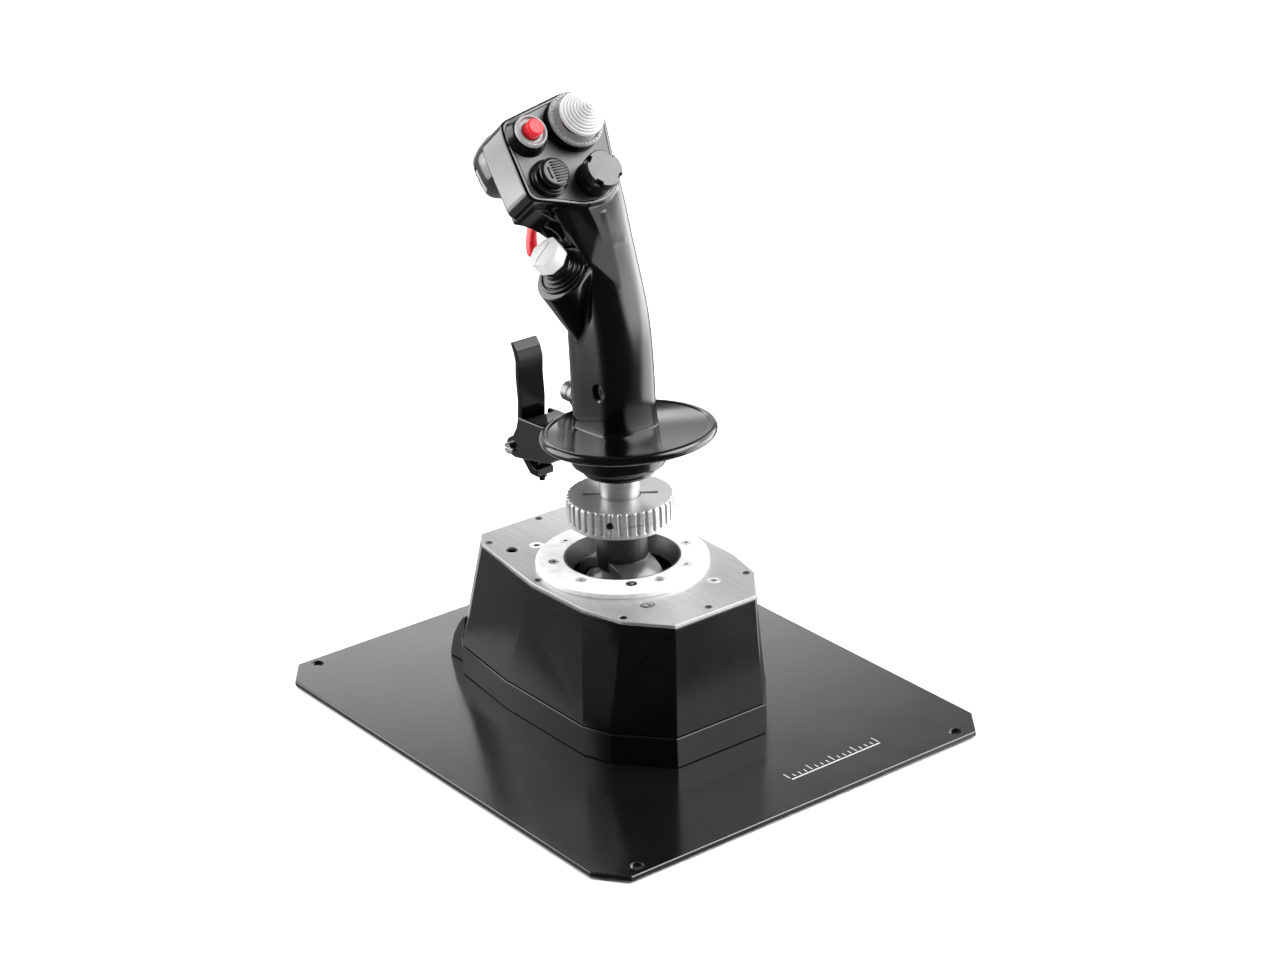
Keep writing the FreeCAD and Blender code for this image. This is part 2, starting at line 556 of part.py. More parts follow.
disc = fuse("disc_solid",
            cylinder("disc_web", "dims.disc_radius - dims.disc_rim", "dims.disc_thickness",
                     (0, 0, "-dims.disc_thickness / 2")),
            prim("Torus", "disc_bead", Radius1="dims.disc_radius - dims.disc_rim", Radius2="dims.disc_rim"))
hand_rest = cut("hand_rest_piece", disc, cylinder("disc_bore", 6, 20, (0, "-dims.disc_offset", -10)))
keep(placed(hand_rest, DISC), "hand_rest_disc")
above_disc = placed(box("above_disc", 160, 160, 60), DISC, -80, -80, -dim("disc_thickness") / 2)
below_disc = placed(box("below_disc", 160, 160, 60), DISC, -80, -80, dim("disc_thickness") / 2 - 60)

collar = fuse("collar_solid",
              cylinder("collar_low", "dims.collar_low_radius", "dims.collar_step - dims.collar_base - 0.2",
                       (0, 0, "dims.collar_base + 0.2")),
              cone("collar_mid", "dims.collar_radius - 1.5", "dims.collar_radius",
                   "dims.collar_top - dims.collar_step", (0, 0, "dims.collar_step")))
keep(cut("grip_collar_piece", collar, cylinder("collar_bore", 6, 60, (0, 0, 140)), above_disc), "grip_collar")

# ---------------------------------------------------------------- paddle lever and its bracket
def side_profile(name, points, half_width, centre=0.0):
    """A plate cut to a profile in the YZ plane, as thick as it is wide along X."""
    body = new_body(name)
    item = sketch(body, name + "_profile", "YZ_Plane", centre - half_width)
    add_polygon(item, [((y, str(y)), (z, str(z))) for y, z in points])
    pad(body, name + "_pad", item, 2 * half_width)
    return body


PADDLE_PIVOT = (0, 88, 136)
bracket_plate = side_profile("bracket_plate", [
    (15, 152.2), (44, 141.5), (50, 137.5), (56, 136), (84, 130.5), (91, 131.5), (93.5, 136), (91, 141),
    (86, 144), (82, 150), (80, 157), (56, 158.5), (46, 163.5), (15, 164.5)], 12)
collar_room = cone("collar_room", "dims.collar_radius - 1.5", "dims.collar_radius",
                   "dims.collar_top - dims.collar_step", (0, 0, "dims.collar_step"))
keep(cut("paddle_bracket_piece", bracket_plate, collar_room,
         cylinder("collar_room_low", "dims.collar_radius - 1.5", 10, (0, 0, 142)),
         box("paddle_slot", 18.6, 30, 40, (-9.3, 73.5, 122)),
         cylinder("bracket_bore", 2.0, 40, (-20, PADDLE_PIVOT[1], PADDLE_PIVOT[2]), ALONG_X)),
     "paddle_bracket")
keep(cut("paddle_pin_piece",
         fuse("paddle_pin_solid",
              cylinder("paddle_pin_shank", 2.0, 24.2, (-12.1, PADDLE_PIVOT[1], PADDLE_PIVOT[2]), ALONG_X),
              cylinder("paddle_pin_head", 3.4, 2.4, (-14.4, PADDLE_PIVOT[1], PADDLE_PIVOT[2]), ALONG_X)),
         box("paddle_pin_slot", 1.2, 8, 0.9, (-14.6, PADDLE_PIVOT[1] - 4, PADDLE_PIVOT[2] - 0.45))),
     "paddle_pin")
blade = side_profile("paddle_blade", [
    (84, 134), (81.5, 150), (80.3, 165), (81.2, 180), (80.6, 190), (82.6, 196), (86.2, 200.4),
    (88.4, 199.6), (85.8, 194.5), (84.4, 189), (85.0, 180), (83.9, 165), (85.2, 150), (91, 140)], 8.7)
crank = side_profile("paddle_crank", [(90, 132), (78.5, 120.5), (71.5, 120.5), (71.5, 125), (76.5, 126),
                                      (84, 135)], 6)
hub = cylinder("paddle_hub", 5, 17.4, (-8.7, PADDLE_PIVOT[1], PADDLE_PIVOT[2]), ALONG_X)
keep(cut("paddle_lever_piece", fuse("paddle_lever_solid", blade, crank, hub),
         cylinder("paddle_bore", 2.06, 40, (-20, PADDLE_PIVOT[1], PADDLE_PIVOT[2]), ALONG_X),
         cylinder("stop_bore", 1.8, 20, (0, 75, 112))), "paddle_lever")
keep(fuse("paddle_stop_piece", cylinder("stop_shank", 1.8, 9, (0, 75, 116.5)),
          cylinder("stop_nut", 2.9, 1.8, (0, 75, 118.7))), "paddle_stop_screw")

# ---------------------------------------------------------------- handle
# Stations up the handle: height, rear face, front face, half width.
HANDLE = [(170.0, -21.6, 25.5, 19.4), (178, -20.4, 26.5, 18.6), (207, -20, 28, 18.0),
          (240, -16.8, 29.5, 17.8), (262, -10.8, 32, 17.5), (284, -2.8, 38, 17.5), (300, 3.5, 45, 18.0), (318, 9.5, 54, 18.5)]


def section(height, rear, front, half, shrink=0.0):
    """A closed curve round the handle: nearly flat sides, a full rear and a rounded front."""
    half, rear, front = half - shrink, rear + shrink, front - shrink
    middle = (rear + front) / 2
    right = [(0.55, rear + 1.3), (0.9, rear + 5.2), (1.0, rear + 11.5), (1.0, middle + 2),
             (0.93, front - 11), (0.62, front - 3.2)]
    loop = [(0, rear)] + right + [(0, front)] + [(-x, y) for x, y in reversed(right)]
    curve = Part.BSplineCurve()
    curve.interpolate([Vector(half * x, y, height) for x, y in loop], PeriodicFlag=True)
    return Part.Wire(curve.toShape())


def handle_loft(shrink):
    return Part.makeLoft([section(*station, shrink) for station in HANDLE], True, False)


PANEL = Placement(Vector(0, dim("panel_y"), dim("panel_z")), Rotation(Vector(1, 0, 0), dim("panel_turn")))
# Corners of the head in the panel's own frame, clockwise from the top left.
HEAD = [(-42, 0.5), (5, 9), (19, 6), (23.5, -10), (12.5, -51), (2, -57.5), (-14, -57), (-45.5, -46),
        (-44, -8)]


def inset(points, step):
    """The same corners moved inwards by a step, for a clockwise outline."""
    result = []
    for k, (x, y) in enumerate(points):
        (xa, ya), (xb, yb) = points[k - 1], points[(k + 1) % len(points)]
        u = Vector(x - xa, y - ya, 0).normalize()
        v = Vector(xb - x, yb - y, 0).normalize()
        inward_u, inward_v = Vector(u.y, -u.x, 0), Vector(v.y, -v.x, 0)
        mitre = (inward_u + inward_v).normalize()
        reach = step / mitre.dot(inward_u)
        result.append((x + mitre.x * reach, y + mitre.y * reach))
    return result


def rounded_prism(name, points, top, depth, radius, holes=()):
    """An outline in the panel's frame, taken down from a level, with rounded corners."""
    body = new_body(name)
    item = sketch(body, name + "_outline", level=top)
    add_polygon(item, [((x, str(x)), (y, str(y))) for x, y in points])
    for x, y, alias in holes:
        add_circle(item, alias, *at(x, y))
    pad(body, name + "_pad", item, depth, reverse=True)
    DOC.recompute()
    edges = [f"Edge{k + 1}" for k, edge in enumerate(body.Tip.Shape.Edges)
             if len(edge.Vertexes) == 2 and abs(edge.tangentAt(edge.FirstParameter).z) > 0.9
             and any(math.dist((x, y), edge.Vertexes[0].Point[:2]) < 0.01 for x, y in points)]
    dress(body, "Fillet", name + "_corners", edges, "Radius", radius)
    return body


SWITCHES = {"trim": (-0.7, -10.9), "weapon": (-31, -11.2), "ribbed": (-29.1, -37.2), "castle": (-3, -44)}
head_block = placed(rounded_prism("head_block", HEAD, 0, "dims.head_depth", 4.5), PANEL)
head_cavity = placed(rounded_prism("head_cavity", inset(HEAD, 3), -2, 21, 2.5), PANEL)
panel_room = placed(rounded_prism("panel_room", inset(HEAD, 1.6), 1, 3, 3), PANEL)

trigger_block = new_body("trigger_block")
block_sketch = sketch(trigger_block, "trigger_block_profile", "YZ_Plane", -19)
BLOCK = [(-48, -20), (-48, -42), (-33, -60), (-29.4, -60), (-29.4, -26), (-22, -26), (-22, -20)]
add_polygon(block_sketch, [((y, str(y)), (z, str(z))) for y, z in BLOCK])
pad(trigger_block, "trigger_block_pad", block_sketch, 22)
placed(trigger_block, PANEL)
outer_loft = shaped("handle_outer", handle_loft(0))
inner_loft = shaped("handle_inner", handle_loft(dim("handle_wall")))

MARK = Placement(Vector(-24.5, 16.5, 288.5), Rotation(Vector(0, 0, 1), Vector(-0.8, 0, -0.6)))
mark_well = placed(cylinder("mark_well", 6.4, 26), MARK, 0, 0, -16)
TRIGGER_PIVOT = (57, 289)
trigger_slot = box("trigger_slot", 7, 34, 44, (-12.5, 44.5, 250))
pin_bore = cylinder("trigger_pin_bore", 1.5, 60, (-40, TRIGGER_PIVOT[0], TRIGGER_PIVOT[1]), ALONG_X)
keep(cut("head_shell_piece", fuse("head_solid", head_block, trigger_block), head_cavity, panel_room,
         trigger_slot, pin_bore, mark_well), "head_shell")
panel_holes = [(*SWITCHES[key], "hat_cavity") for key in ("trim", "ribbed", "castle")] + \
              [(*SWITCHES["weapon"], "weapon_bore")]
panel = rounded_prism("panel_blank", inset(HEAD, 1.6), 0, "dims.panel_thickness", 3, panel_holes)
panel.Placement = PANEL
keep(panel, "head_panel")


def nose_section(depth, points):
    curve = Part.BSplineCurve()
    curve.interpolate([PANEL.multVec(Vector(x, y, -depth)) for x, y in points], PeriodicFlag=True)
    return Part.Wire(curve.toShape())


def nose_ring(left, right, low, high):
    """Eight points round a nose station."""
    x, y = (left + right) / 2, (low + high) / 2
    return [(left, y), (left + 0.13 * (right - left), high - 0.12 * (high - low)), (x, high),
            (right - 0.13 * (right - left), high - 0.12 * (high - low)), (right, y),
            (right - 0.13 * (right - left), low + 0.12 * (high - low)), (x, low),
            (left + 0.13 * (right - left), low + 0.12 * (high - low))]


nose_solid = shaped("nose_solid", Part.makeLoft([
    nose_section(dim("head_depth"), nose_ring(-42.5, 18.5, -27.8, 5)),
    nose_section(38, nose_ring(-41.5, 17.5, -27.6, 4)),
    nose_section(50, nose_ring(-36, 14, -26, 0.5)),
    nose_section(59, nose_ring(-26, 4, -21, -7))], True, False))
nose_cavity = shaped("nose_cavity", Part.makeLoft([
    nose_section(dim("head_depth") - 1, nose_ring(-40, 17.5, -24.8, 3)),
    nose_section(46, nose_ring(-36, 14, -24, 0.5))], True, False))
keep(cut("nose_cover_piece", nose_solid, nose_cavity), "nose_cover")

# Side switch: its seat is the slanted end of a tapered pod on the left of the handle.
SIDE_AXIS = Vector(-0.68, 0, 0.733)
SIDE = Placement(Vector(-25, 10, 267.5), Rotation(Vector(0, 0, 1), SIDE_AXIS))
rim = Part.Wire(Part.Circle(SIDE.Base, SIDE_AXIS, 16).toShape())
root = Part.Wire(Part.Circle(Vector(-11.5, 17, 224), SIDE_AXIS, 5).toShape())
pod = shaped("side_pod", Part.makeLoft([root, rim], True, True))
pod_well = placed(cylinder("pod_well", "dims.hat_cavity", 15), SIDE, 0, 0, -13)
left_half = box("left_half", 60, 200, 200, (-60, -60, 165))
right_half = box("right_half", 60, 200, 200, (0, -60, 165))
head_room = placed(rounded_prism("head_room", HEAD, 30, "dims.head_depth + 30", 4.5), PANEL)
side_clear = placed(cylinder("side_clear", 12.6, 20), SIDE)
shoulder_room = placed(box("shoulder_room", 30, 60, 56), PANEL, 8, -46, -30)
nose_room = placed(box("nose_room", 100, 50, 60), PANEL, -60, -29.4, -85.9)
screw_y, screw_z = -7.7, 199.6
pinky_z = 181.0
tools = [head_room, nose_room, shoulder_room, trigger_block, below_disc, mark_well, side_clear,
         cylinder("pinky_hole", 7.9, 40, (0, 16, pinky_z), ALONG_Y),
         cylinder("shell_screw_hole", 2, 60, (-30, screw_y, screw_z), ALONG_X)]
screw_recess = cylinder("shell_screw_recess", 4.5, 20, (-33, screw_y, screw_z), ALONG_X)
boss = cylinder("shell_screw_boss", 6.5, 30, (-16, screw_y, screw_z), ALONG_X)
shell_blank = cut("shell_blank", outer_loft, inner_loft)
left_solid = fuse("left_solid", common("left_wall", shell_blank, left_half),
                  cut("left_pod", cut("left_pod_outside", pod, inner_loft), pod_well, right_half),
                  common("left_boss", boss, left_half))
keep(cut("grip_left_piece", left_solid, screw_recess, *tools), "grip_left_shell")
right_solid = fuse("right_solid", common("right_wall", shell_blank, right_half),
                   common("right_boss", boss, right_half))
keep(cut("grip_right_piece", right_solid, *tools), "grip_right_shell")
keep(cut("shell_screw_piece",
         fuse("shell_screw_solid", cylinder("shell_screw_shank", 2, 26, (-13, screw_y, screw_z), ALONG_X),
              cylinder("shell_screw_head", 4.2, 2.6, (-15.6, screw_y, screw_z), ALONG_X)),
         prim("Prism", "shell_screw_key", (-16, screw_y, screw_z), ALONG_X, Circumradius="2.3", Height="2")),
     "shell_screw")

# ---------------------------------------------------------------- trigger
trigger_body = side_profile("trigger_blade", [
    (53.2, 290), (54.5, 281), (59.0, 274), (59.3, 266), (57.8, 262), (59.0, 258.6), (62.6, 259.4),
    (64.2, 264), (64.6, 274), (61.5, 283), (60.6, 290)], 3.0, -9)
trigger_hub = cylinder("trigger_hub", 4, 6, (-12, TRIGGER_PIVOT[0], TRIGGER_PIVOT[1]), ALONG_X)
keep(cut("trigger_piece", fuse("trigger_solid", trigger_body, trigger_hub),
         cylinder("trigger_bore", 1.56, 60, (-40, TRIGGER_PIVOT[0], TRIGGER_PIVOT[1]), ALONG_X)), "trigger")
keep(cylinder("trigger_pin_rod", 1.5, 18, (-17, TRIGGER_PIVOT[0], TRIGGER_PIVOT[1]), ALONG_X), "trigger_pin")

# ---------------------------------------------------------------- push buttons
weapon = SWITCHES["weapon"]
weapon_base = cut("weapon_base", cone("weapon_cone", 12.2, 9.6, 6),
                  cylinder("weapon_base_bore", "dims.weapon_bore", 20, (0, 0, -5)))
keep(placed(weapon_base, PANEL, *weapon), "weapon_bezel")
weapon_ring = cut("weapon_ring", cone("weapon_ring_cone", 9.4, 8.6, 2.6),
                  cylinder("weapon_ring_bore", "dims.weapon_bore", 20, (0, 0, -5)))
keep(placed(weapon_ring, PANEL, *weapon, 6), "weapon_collar")
weapon_cap = fuse("weapon_cap", cylinder("weapon_stem", "dims.weapon_radius", 12.4, (0, 0, 0.5)),
                  cone("weapon_tip", "dims.weapon_radius", "dims.weapon_radius - 0.8", 0.8, (0, 0, 12.9)))
keep(placed(weapon_cap, PANEL, *weapon), "weapon_button")

PINKY = Placement(Vector(0, 0, pinky_z), Rotation(Vector(0, 0, 1), Vector(0, 1, 0)))
pinky_base = cut("pinky_base", cylinder("pinky_flange", 7.9, 12),
                 cylinder("pinky_flange_bore", 6.2, 20, (0, 0, -2)))
keep(placed(pinky_base, PINKY, 0, 0, 22.5), "pinky_bezel")
pinky = fuse("pinky_solid", cylinder("pinky_stem", "dims.pinky_radius", 20, (0, 0, 0)),
             cone("pinky_tip", "dims.pinky_radius", "dims.pinky_radius - 0.9", 0.9, (0, 0, 20)))
keep(placed(pinky, PINKY, 0, 0, 25.5), "pinky_button")

mark_tube = cut("mark_tube", cylinder("mark_tube_solid", 6.3, 14, (0, 0, -12)),
                cylinder("mark_tube_bore", 4.4, 15, (0, 0, -10)))
keep(placed(mark_tube, MARK), "mark_bezel")
keep(placed(cylinder("mark_plunger", "dims.mark_radius", 8.5), MARK, 0, 0, -8), "mark_button")


# ---------------------------------------------------------------- hat switches
def hat(name, frame, x, y, steps, pivot, cap_solid, cap_level):
    """A four way hat: a bezel, a tilting ring in it and a cap that tilts in the ring."""
    level, pieces = 0.0, []
    for k, (low_radius, high_radius, rise) in enumerate(steps):
        pieces.append(cone(f"{name}_step_{k}", low_radius, high_radius, rise, (0, 0, level)))
        level += rise
    solid = fuse(name + "_bezel_solid", *pieces) if len(pieces) > 1 else pieces[0]
    bezel = cut(name + "_bezel_piece", solid, cylinder(name + "_cavity", "dims.hat_cavity", 60, (0, 0, -1)),
                cylinder(name + "_pin_bore", "dims.hat_pin_bore", 16, (-8, 0, pivot), ALONG_X))
    keep(placed(bezel, frame, x, y), name + "_bezel")
    ring_body = cut(name + "_ring_body",
                    cylinder(name + "_ring_disc", "dims.hat_ring_outer", "dims.hat_ring_height",
                             (0, 0, f"{pivot} - dims.hat_ring_height / 2")),
                    cylinder(name + "_ring_hole", "dims.hat_ring_inner", 20, (0, 0, pivot - 10)),
                    cylinder(name + "_ring_bore", "dims.hat_pin_bore", 20, (0, -10, pivot), ALONG_Y))
    ring_pins = [cylinder(f"{name}_ring_pin_{i}", "dims.hat_pin", 3.5,
                          (4.0 if i > 0 else -7.5, 0, pivot), ALONG_X) for i in (-1, 1)]
    keep(placed(fuse(name + "_ring_piece", ring_body, *ring_pins), frame, x, y), name + "_ring")
    stem = cylinder(name + "_stem", "dims.hat_stem", cap_level + 1.5 - pivot, (0, 0, pivot - 1.1))
    stem_pin = cylinder(name + "_stem_pin", "dims.hat_pin", 8.8, (0, -4.4, pivot), ALONG_Y)
    keep(placed(fuse(name + "_cap_piece", cap_solid, stem, stem_pin), frame, x, y), name + "_cap")


# Trim hat: a ringed cone on a bright ring.
trim_cap = fuse("trim_cone", cone("trim_skirt", 11.5, 13, 2.5, (0, 0, 11.8)),
                *[cone(f"trim_tier_{k}", 13 - 1.45 * k, 12.2 - 1.45 * k, 1.35, (0, 0, 14.3 + 1.35 * k))
                  for k in range(8)])
hat("trim", PANEL, *SWITCHES["trim"], [(16.5, 15.6, 5.5)], 4, trim_cap, 11.8)
trim_ring_plate = cut("trim_ring_plate", cylinder("trim_ring_solid", 16, 2.6),
                      cylinder("trim_ring_bore", 9, 10, (0, 0, -2)))
keep(placed(trim_ring_plate, PANEL, *SWITCHES["trim"], 5.5), "trim_ring_dial")

# Ribbed hat: a dished cap with a grooved strip across it.
dish = cut("ribbed_dish", cone("ribbed_dish_solid", 8.8, 7.9, 3.6, (0, 0, 6.8)),
           *[box(f"ribbed_groove_{k}", 7.0, 0.8, 1.2, (-1.4, -5.0 + 1.55 * k, 9.2)) for k in range(7)])
hat("ribbed", PANEL, *SWITCHES["ribbed"], [(10.9, 10.4, 3.0), (9.6, 9.0, 1.8)], 2.6, dish, 6.8)

# Castle hat: a broad drum with notches round its crown.
crown = cut("castle_crown", cylinder("castle_drum", 10.9, 7.2, (0, 0, 8.5)),
            *[box(f"castle_notch_{k}", 4.2, 3.6, 5, (0, 0, 0)) for k in range(4)])
for k in range(4):
    placed(DOC.getObject(f"castle_notch_{k}"), Placement(Vector(), Rotation(Vector(0, 0, 1), 45 + 90 * k)),
           9.0, -1.8, 12.2)
hat("castle", PANEL, *SWITCHES["castle"], [(10.4, 9.6, 6.5)], 3.6, crown, 8.5)

# Side hat: a facetted knob with a ridge, on stepped collars.
knob_prism = prim("Prism", "side_knob_prism", (0, 0, 10), Circumradius="9.8", Height="9.5")
knob_prism.Polygon = 8
ridge_cuts = [placed(box(f"side_ridge_cut_{i}", 30, 12, 8),
                     Placement(Vector(0, 0, 19.5), Rotation(Vector(1, 0, 0), -8 * i)), -15, 0 if i > 0 else -12)
              for i in (-1, 1)]
hat("side", SIDE, 0, 0, [(12.5, 12.5, 1.6), (10.6, 10.2, 2.6), (9.0, 8.8, 2.6)], 4.6,
    cut("side_knob", knob_prism, *ridge_cuts), 10)

# ---------------------------------------------------------------- check and write
DOC.recompute()
failed = [obj.Name for obj in DOC.Objects if "Invalid" in obj.State or "Error" in obj.State]
if failed:
    raise RuntimeError(f"failed features: {failed}")
os.makedirs("parts", exist_ok=True)
for piece in PARTS:
    if piece.Shape.isNull() or not piece.Shape.isValid() or piece.Shape.Volume < 1:
        raise RuntimeError(f"{piece.Label} has no valid solid")
    piece.Shape.exportStep(f"parts/{piece.Label}.step")
    print(f"{piece.Label:20s} solids {len(piece.Shape.Solids):2d} volume {piece.Shape.Volume:10.1f} mm3")
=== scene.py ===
import json
import math

import bmesh
import bpy
from mathutils import Matrix, Vector


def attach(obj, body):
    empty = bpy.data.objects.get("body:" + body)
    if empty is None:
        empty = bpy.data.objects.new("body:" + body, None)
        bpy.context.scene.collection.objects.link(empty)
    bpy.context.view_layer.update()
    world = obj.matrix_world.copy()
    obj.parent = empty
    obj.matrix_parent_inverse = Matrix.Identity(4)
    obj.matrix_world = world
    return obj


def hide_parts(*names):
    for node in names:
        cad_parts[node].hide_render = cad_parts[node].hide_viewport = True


# Looks of a desk-mounted flight joystick. Metres, +Z up, +Y away from the pilot, +X to the right.
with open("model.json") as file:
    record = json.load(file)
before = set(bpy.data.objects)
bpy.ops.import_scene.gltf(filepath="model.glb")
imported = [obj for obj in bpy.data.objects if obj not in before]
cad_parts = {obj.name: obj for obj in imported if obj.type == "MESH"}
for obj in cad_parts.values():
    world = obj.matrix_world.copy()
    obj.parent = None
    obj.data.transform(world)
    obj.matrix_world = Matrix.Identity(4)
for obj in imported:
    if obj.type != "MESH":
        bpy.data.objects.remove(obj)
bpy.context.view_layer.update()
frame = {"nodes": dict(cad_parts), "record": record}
NODES = frame["nodes"]
MM = 0.001


# ---------------------------------------------------------------- node materials
class Shader:
    """A small builder for one procedural material round a Principled shader."""

    def __init__(self, name, color, rough, metal=0.0, specular=0.5, coat=0.0, coat_rough=0.08, aniso=0.0):
        self.mat = bpy.data.materials.new(name)
        self.mat.use_nodes = True
        self.mat.diffuse_color = (*color, 1)
        self.tree = self.mat.node_tree
        self.tree.nodes.clear()
        out = self.tree.nodes.new("ShaderNodeOutputMaterial")
        self.bsdf = self.tree.nodes.new("ShaderNodeBsdfPrincipled")
        self.link(self.bsdf.outputs[0], out.inputs[0])
        for socket, value in (("Base Color", (*color, 1)), ("Roughness", rough), ("Metallic", metal),
                              ("Specular IOR Level", specular), ("Coat Weight", coat),
                              ("Coat Roughness", coat_rough), ("Anisotropic", aniso)):
            self.bsdf.inputs[socket].default_value = value
        self.color, self.rough = color, rough
        self.color_out = self.rough_out = self.normal_out = None
        self.coords = self.tree.nodes.new("ShaderNodeTexCoord").outputs["Object"]

    def link(self, a, b):
        self.tree.links.new(a, b)

    def node(self, kind, **values):
        item = self.tree.nodes.new(kind)
        for key, value in values.items():
            if hasattr(item, key):
                setattr(item, key, value)
            else:
                item.inputs[key.replace("_", " ").title() if key.islower() else key].default_value = value
        return item

    def noise(self, scale, detail=3.0, stretch=(1, 1, 1), kind="ShaderNodeTexNoise"):
        mapping = self.node("ShaderNodeMapping")
        mapping.inputs["Scale"].default_value = stretch
        self.link(self.coords, mapping.inputs["Vector"])
        item = self.node(kind)
        item.inputs["Scale"].default_value = scale
        if "Detail" in item.inputs:
            item.inputs["Detail"].default_value = detail
        self.link(mapping.outputs[0], item.inputs["Vector"])
        return item.outputs[0]

    def spread(self, value, low, high, start=0.3, stop=0.7):
        item = self.node("ShaderNodeMapRange")
        self.link(value, item.inputs["Value"])
        for socket, number in (("From Min", start), ("From Max", stop), ("To Min", low), ("To Max", high)):
            item.inputs[socket].default_value = number
        return item.outputs[0]

    def mix_color(self, factor, first, second):
        item = self.tree.nodes.new("ShaderNodeMix")
        item.data_type = "RGBA"
        self.link(factor, item.inputs["Factor"])
        for socket, value in ((item.inputs[6], first), (item.inputs[7], second)):
            if isinstance(value, tuple):
                socket.default_value = (*value, 1)
            else:
                self.link(value, socket)
        return item.outputs[2]

    def tone(self, scale, amount, stretch=(1, 1, 1)):
        """Slight colour variation: the paint or metal is not one flat tone."""
        factor = self.spread(self.noise(scale, 4.0, stretch), 0.0, 1.0)
        dark = tuple(c * (1 - amount) for c in self.color)
        light = tuple(min(1.0, c * (1 + amount)) for c in self.color)
        self.color_out = self.mix_color(factor, dark, light)
        return self

    def gloss(self, scale, amount, stretch=(1, 1, 1)):
        """Roughness that wanders, as handled or machined surfaces do."""
        self.rough_out = self.spread(self.noise(scale, 5.0, stretch), max(0.02, self.rough - amount),
                                     min(1.0, self.rough + amount))
        return self

    def bump(self, scale, depth, stretch=(1, 1, 1), detail=3.0, kind="ShaderNodeTexNoise"):
        item = self.node("ShaderNodeBump")
        item.inputs["Strength"].default_value = 1.0
        item.inputs["Distance"].default_value = depth
        self.link(self.noise(scale, detail, stretch, kind), item.inputs["Height"])
        if self.normal_out:
            self.link(self.normal_out, item.inputs["Normal"])
        self.normal_out = item.outputs[0]
        return self

    def edge_wear_and_highlight(self, radius, color, amount=0.6, scale=180.0):
        """Rubbed edges with a painted edge highlight: where the surface turns within a small radius, the
        colour lightens in patches.
        """
        bevel = self.node("ShaderNodeBevel")
        bevel.samples = 4
        bevel.inputs["Radius"].default_value = radius
        here = self.node("ShaderNodeNewGeometry").outputs["Normal"]
        dot = self.tree.nodes.new("ShaderNodeVectorMath")
        dot.operation = "DOT_PRODUCT"
        self.link(bevel.outputs[0], dot.inputs[0])
        self.link(here, dot.inputs[1])
        edge = self.spread(dot.outputs["Value"], amount, 0.0, 0.90, 0.995)
        patch = self.spread(self.noise(scale, 6.0), 0.25, 1.0, 0.35, 0.6)
        both = self.tree.nodes.new("ShaderNodeMath")
        both.operation = "MULTIPLY"
        self.link(edge, both.inputs[0])
        self.link(patch, both.inputs[1])
        self.color_out = self.mix_color(both.outputs[0], self.color_out or self.color, color)
        return self

    def done(self):
        for value, socket in ((self.color_out, "Base Color"), (self.rough_out, "Roughness"),
                              (self.normal_out, "Normal")):
            if value:
                self.link(value, self.bsdf.inputs[socket])
        return self.mat


def black_paint(name, level, rough, specular=0.5, coat=0.0, grain=1500, depth=4e-6, rub_and_highlight=None,
                haze=0.05):
    """Black powder coat or moulded plastic: fine orange peel, uneven sheen, rubbed edges that also carry a
    painted edge highlight.
    """
    shader = Shader(name, (level, level, level * 1.03), rough, specular=specular, coat=coat)
    shader.tone(22, 0.18).gloss(35, haze).bump(grain, depth)
    # Edges lightened to grey: partly rubbed wear, partly a painted edge highlight.
    if rub_and_highlight:
        shader.edge_wear_and_highlight(rub_and_highlight, (0.16, 0.16, 0.165), 0.5)
    return shader.done()


def metal(name, level, rough, stretch=(1, 1, 1), scale=700, depth=3e-6, aniso=0.0, rub_and_highlight=None, bare=1.0):
    """Metal with brushing or turning marks; less bare is a satin anodised surface."""
    shader = Shader(name, (level, level, level * 1.01), rough, metal=bare, aniso=aniso)
    shader.tone(scale / 6, 0.10, stretch).gloss(scale / 3, 0.07, stretch).bump(scale, depth, stretch)
    # Edges lightened to near white: partly rubbed wear, partly a painted edge highlight.
    if rub_and_highlight:
        shader.edge_wear_and_highlight(rub_and_highlight, (0.95, 0.95, 0.95), 0.7, 300)
    return shader.done()


